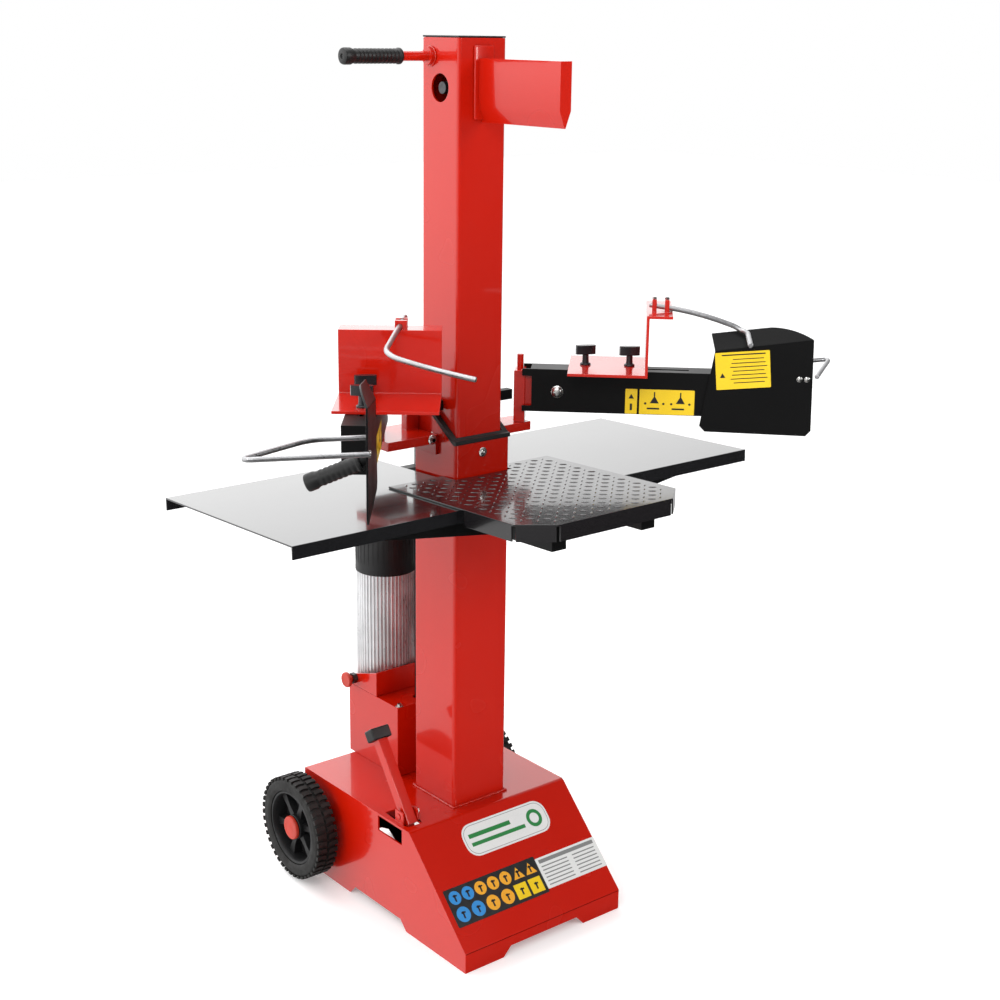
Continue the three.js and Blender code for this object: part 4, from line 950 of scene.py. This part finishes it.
tag_height, film_gap = 943.5, 0.05
for label in SIDES:
    inward = arm_direction(label, 0, -1, 0)
    out = arm_direction(label, 1, 0, 0)
    if out.cross(Vector((0, 0, 1))).dot(inward) < 0:
        out = -out
    rotation = Matrix((out, Vector((0, 0, 1)), inward)).transposed().to_4x4()

    def on_arm(u, z, away, tilt=0.0, label=label, rotation=rotation):
        turn = Matrix.Rotation(math.radians(tilt), 4, "Z")
        return Matrix.Translation(arm_point(label, u, away, z)) @ rotation @ turn

    small = on_arm(199.5, tag_height, -CHANNEL_FACE - film_gap)
    tag("arm_tag_small_" + label, small, 21, 45, 1.5, YELLOW_INK, "arm_" + label)
    small_signs = [triangle(0, 9, 5), bar(0, -10, 4, 12)]
    marks("arm_tag_small_marks_" + label, small, small_signs, BLACK_INK, "arm_" + label)
    wide = on_arm(262.5, tag_height, -CHANNEL_FACE - film_gap)
    tag("arm_tag_wide_" + label, wide, 97, 45, 1.5, YELLOW_INK, "arm_" + label)
    figures = [triangle(x, 4, 8) for x in (-22, 24)] + [bar(x, -12, 22, 3) for x in (-24, 20)]
    figures += [bar(x, 14, 2.4, 8) for x in (-22, 24)] + [disc(x, -3, 2.2, 12) for x in (-38, -6, 8, 40)]
    marks("arm_tag_wide_marks_" + label, wide, figures, BLACK_INK, "arm_" + label)
    if label == "right":
        warning = on_arm(393, 1006, -28.35, 5)
        tag("guard_tag", warning, 95, 66, 1.5, YELLOW_INK, "arm_right")
        rows = [bar(10, 20 - 7 * i, 54 + 5 * (i % 3), 1.5) for i in range(7)]
        rows += [bar(2, 28, 76, 2.2), triangle(-36, -8, 5)]
        marks("guard_tag_rows", warning, rows, BLACK_INK, "arm_right")

# ---------- stage, light, camera ----------
floor_mesh = bpy.data.meshes.new("floor")
reach = 14
floor_mesh.from_pydata([(-reach, -reach, 0), (reach, -reach, 0), (reach, reach, 0), (-reach, reach, 0)], [],
                       [(0, 1, 2, 3)])
floor = bpy.data.objects.new("floor", floor_mesh)
bpy.context.scene.collection.objects.link(floor)
paper, _, _, paper_shader = new_material("studio_paper", (0.9, 0.9, 0.9), 0.9)
paper_shader.inputs["Emission Color"].default_value = (1, 1, 1, 1)
paper_shader.inputs["Emission Strength"].default_value = 0.22
floor_mesh.materials.append(paper)
floor.visible_glossy = False

# The studio is brightest towards the rear left, dim towards the front right and dimmer below; behind
# the object it shows as plain white.
world = bpy.data.worlds.new("studio")
bpy.context.scene.world = world
world.use_nodes = True
world_nodes, world_links = world.node_tree.nodes, world.node_tree.links
background = world_nodes["Background"]
sky = world_nodes.new("ShaderNodeTexCoord")
bright_side = world_nodes.new("ShaderNodeVectorMath")
bright_side.operation = "DOT_PRODUCT"
bright_side.inputs[1].default_value = Vector((-0.55, 0.83, 0.0)).normalized()
world_links.new(sky.outputs["Generated"], bright_side.inputs[0])
fall = world_nodes.new("ShaderNodeMapRange")
fall.interpolation_type = "SMOOTHSTEP"
fall.inputs["From Min"].default_value = -0.75
fall.inputs["From Max"].default_value = 0.75
fall.inputs["To Min"].default_value = 0.07
fall.inputs["To Max"].default_value = 1.6
world_links.new(bright_side.outputs["Value"], fall.inputs["Value"])
height = world_nodes.new("ShaderNodeSeparateXYZ")
world_links.new(sky.outputs["Generated"], height.inputs["Vector"])
ceiling = ranged(world_nodes, world_links, height.outputs["Z"], 0.6, 1.3, -0.35, 0.1)
glow = world_nodes.new("ShaderNodeMath")
glow.operation = "MULTIPLY"
world_links.new(fall.outputs["Result"], glow.inputs[0])
world_links.new(ceiling, glow.inputs[1])
sight = world_nodes.new("ShaderNodeLightPath")
shown = world_nodes.new("ShaderNodeMix")
world_links.new(sight.outputs["Is Camera Ray"], shown.inputs["Factor"])
world_links.new(glow.outputs["Value"], shown.inputs["A"])
shown.inputs["B"].default_value = 1.0
world_links.new(shown.outputs["Result"], background.inputs["Strength"])
background.inputs["Color"].default_value = (1, 1, 1, 1)


def softbox(name, position, target, size, power):
    data = bpy.data.lights.new(name, "AREA")
    data.shape = "RECTANGLE"
    data.size, data.size_y = size
    data.energy = power
    light = bpy.data.objects.new(name, data)
    bpy.context.scene.collection.objects.link(light)
    light.matrix_world = frame_at(position, Vector(position) - Vector(target))


softbox("key_light", (-2.6, -2.4, 3.4), (0, 0, 0.7), (1.6, 1.6), power=46)
softbox("front_light", (1.2, -3.6, 2.4), (0, 0, 0.8), (1.4, 1.4), power=56)
softbox("top_light", (0.2, 0.4, 4.2), (0, 0, 0), (3.0, 3.0), power=50)

CAMERA_PLACE = (-1.726, -2.218 + column_y, 1.579)
YAW, PITCH, ROLL = (math.radians(v) for v in (39.3, 16.12, 0.76))
FOCAL_PIXELS, IMAGE_SIDE = 1638, 1000
SENSOR_WIDTH = 36
view = Vector((math.sin(YAW) * math.cos(PITCH), math.cos(YAW) * math.cos(PITCH), -math.sin(PITCH)))
level = Vector((math.cos(YAW), -math.sin(YAW), 0))
rise = level.cross(view)
right = level * math.cos(ROLL) + rise * math.sin(ROLL)
up = rise * math.cos(ROLL) - level * math.sin(ROLL)
camera_data = bpy.data.cameras.new("camera")
camera_data.sensor_width = SENSOR_WIDTH
camera_data.lens = SENSOR_WIDTH * FOCAL_PIXELS / IMAGE_SIDE
camera_data.clip_end = 100
camera = bpy.data.objects.new("camera", camera_data)
bpy.context.scene.collection.objects.link(camera)
camera.matrix_world = Matrix.Translation(CAMERA_PLACE) @ Matrix((right, up, -view)).transposed().to_4x4()
bpy.context.scene.camera = camera
bpy.context.scene.view_settings.view_transform = "Standard"

bpy.context.view_layer.update()
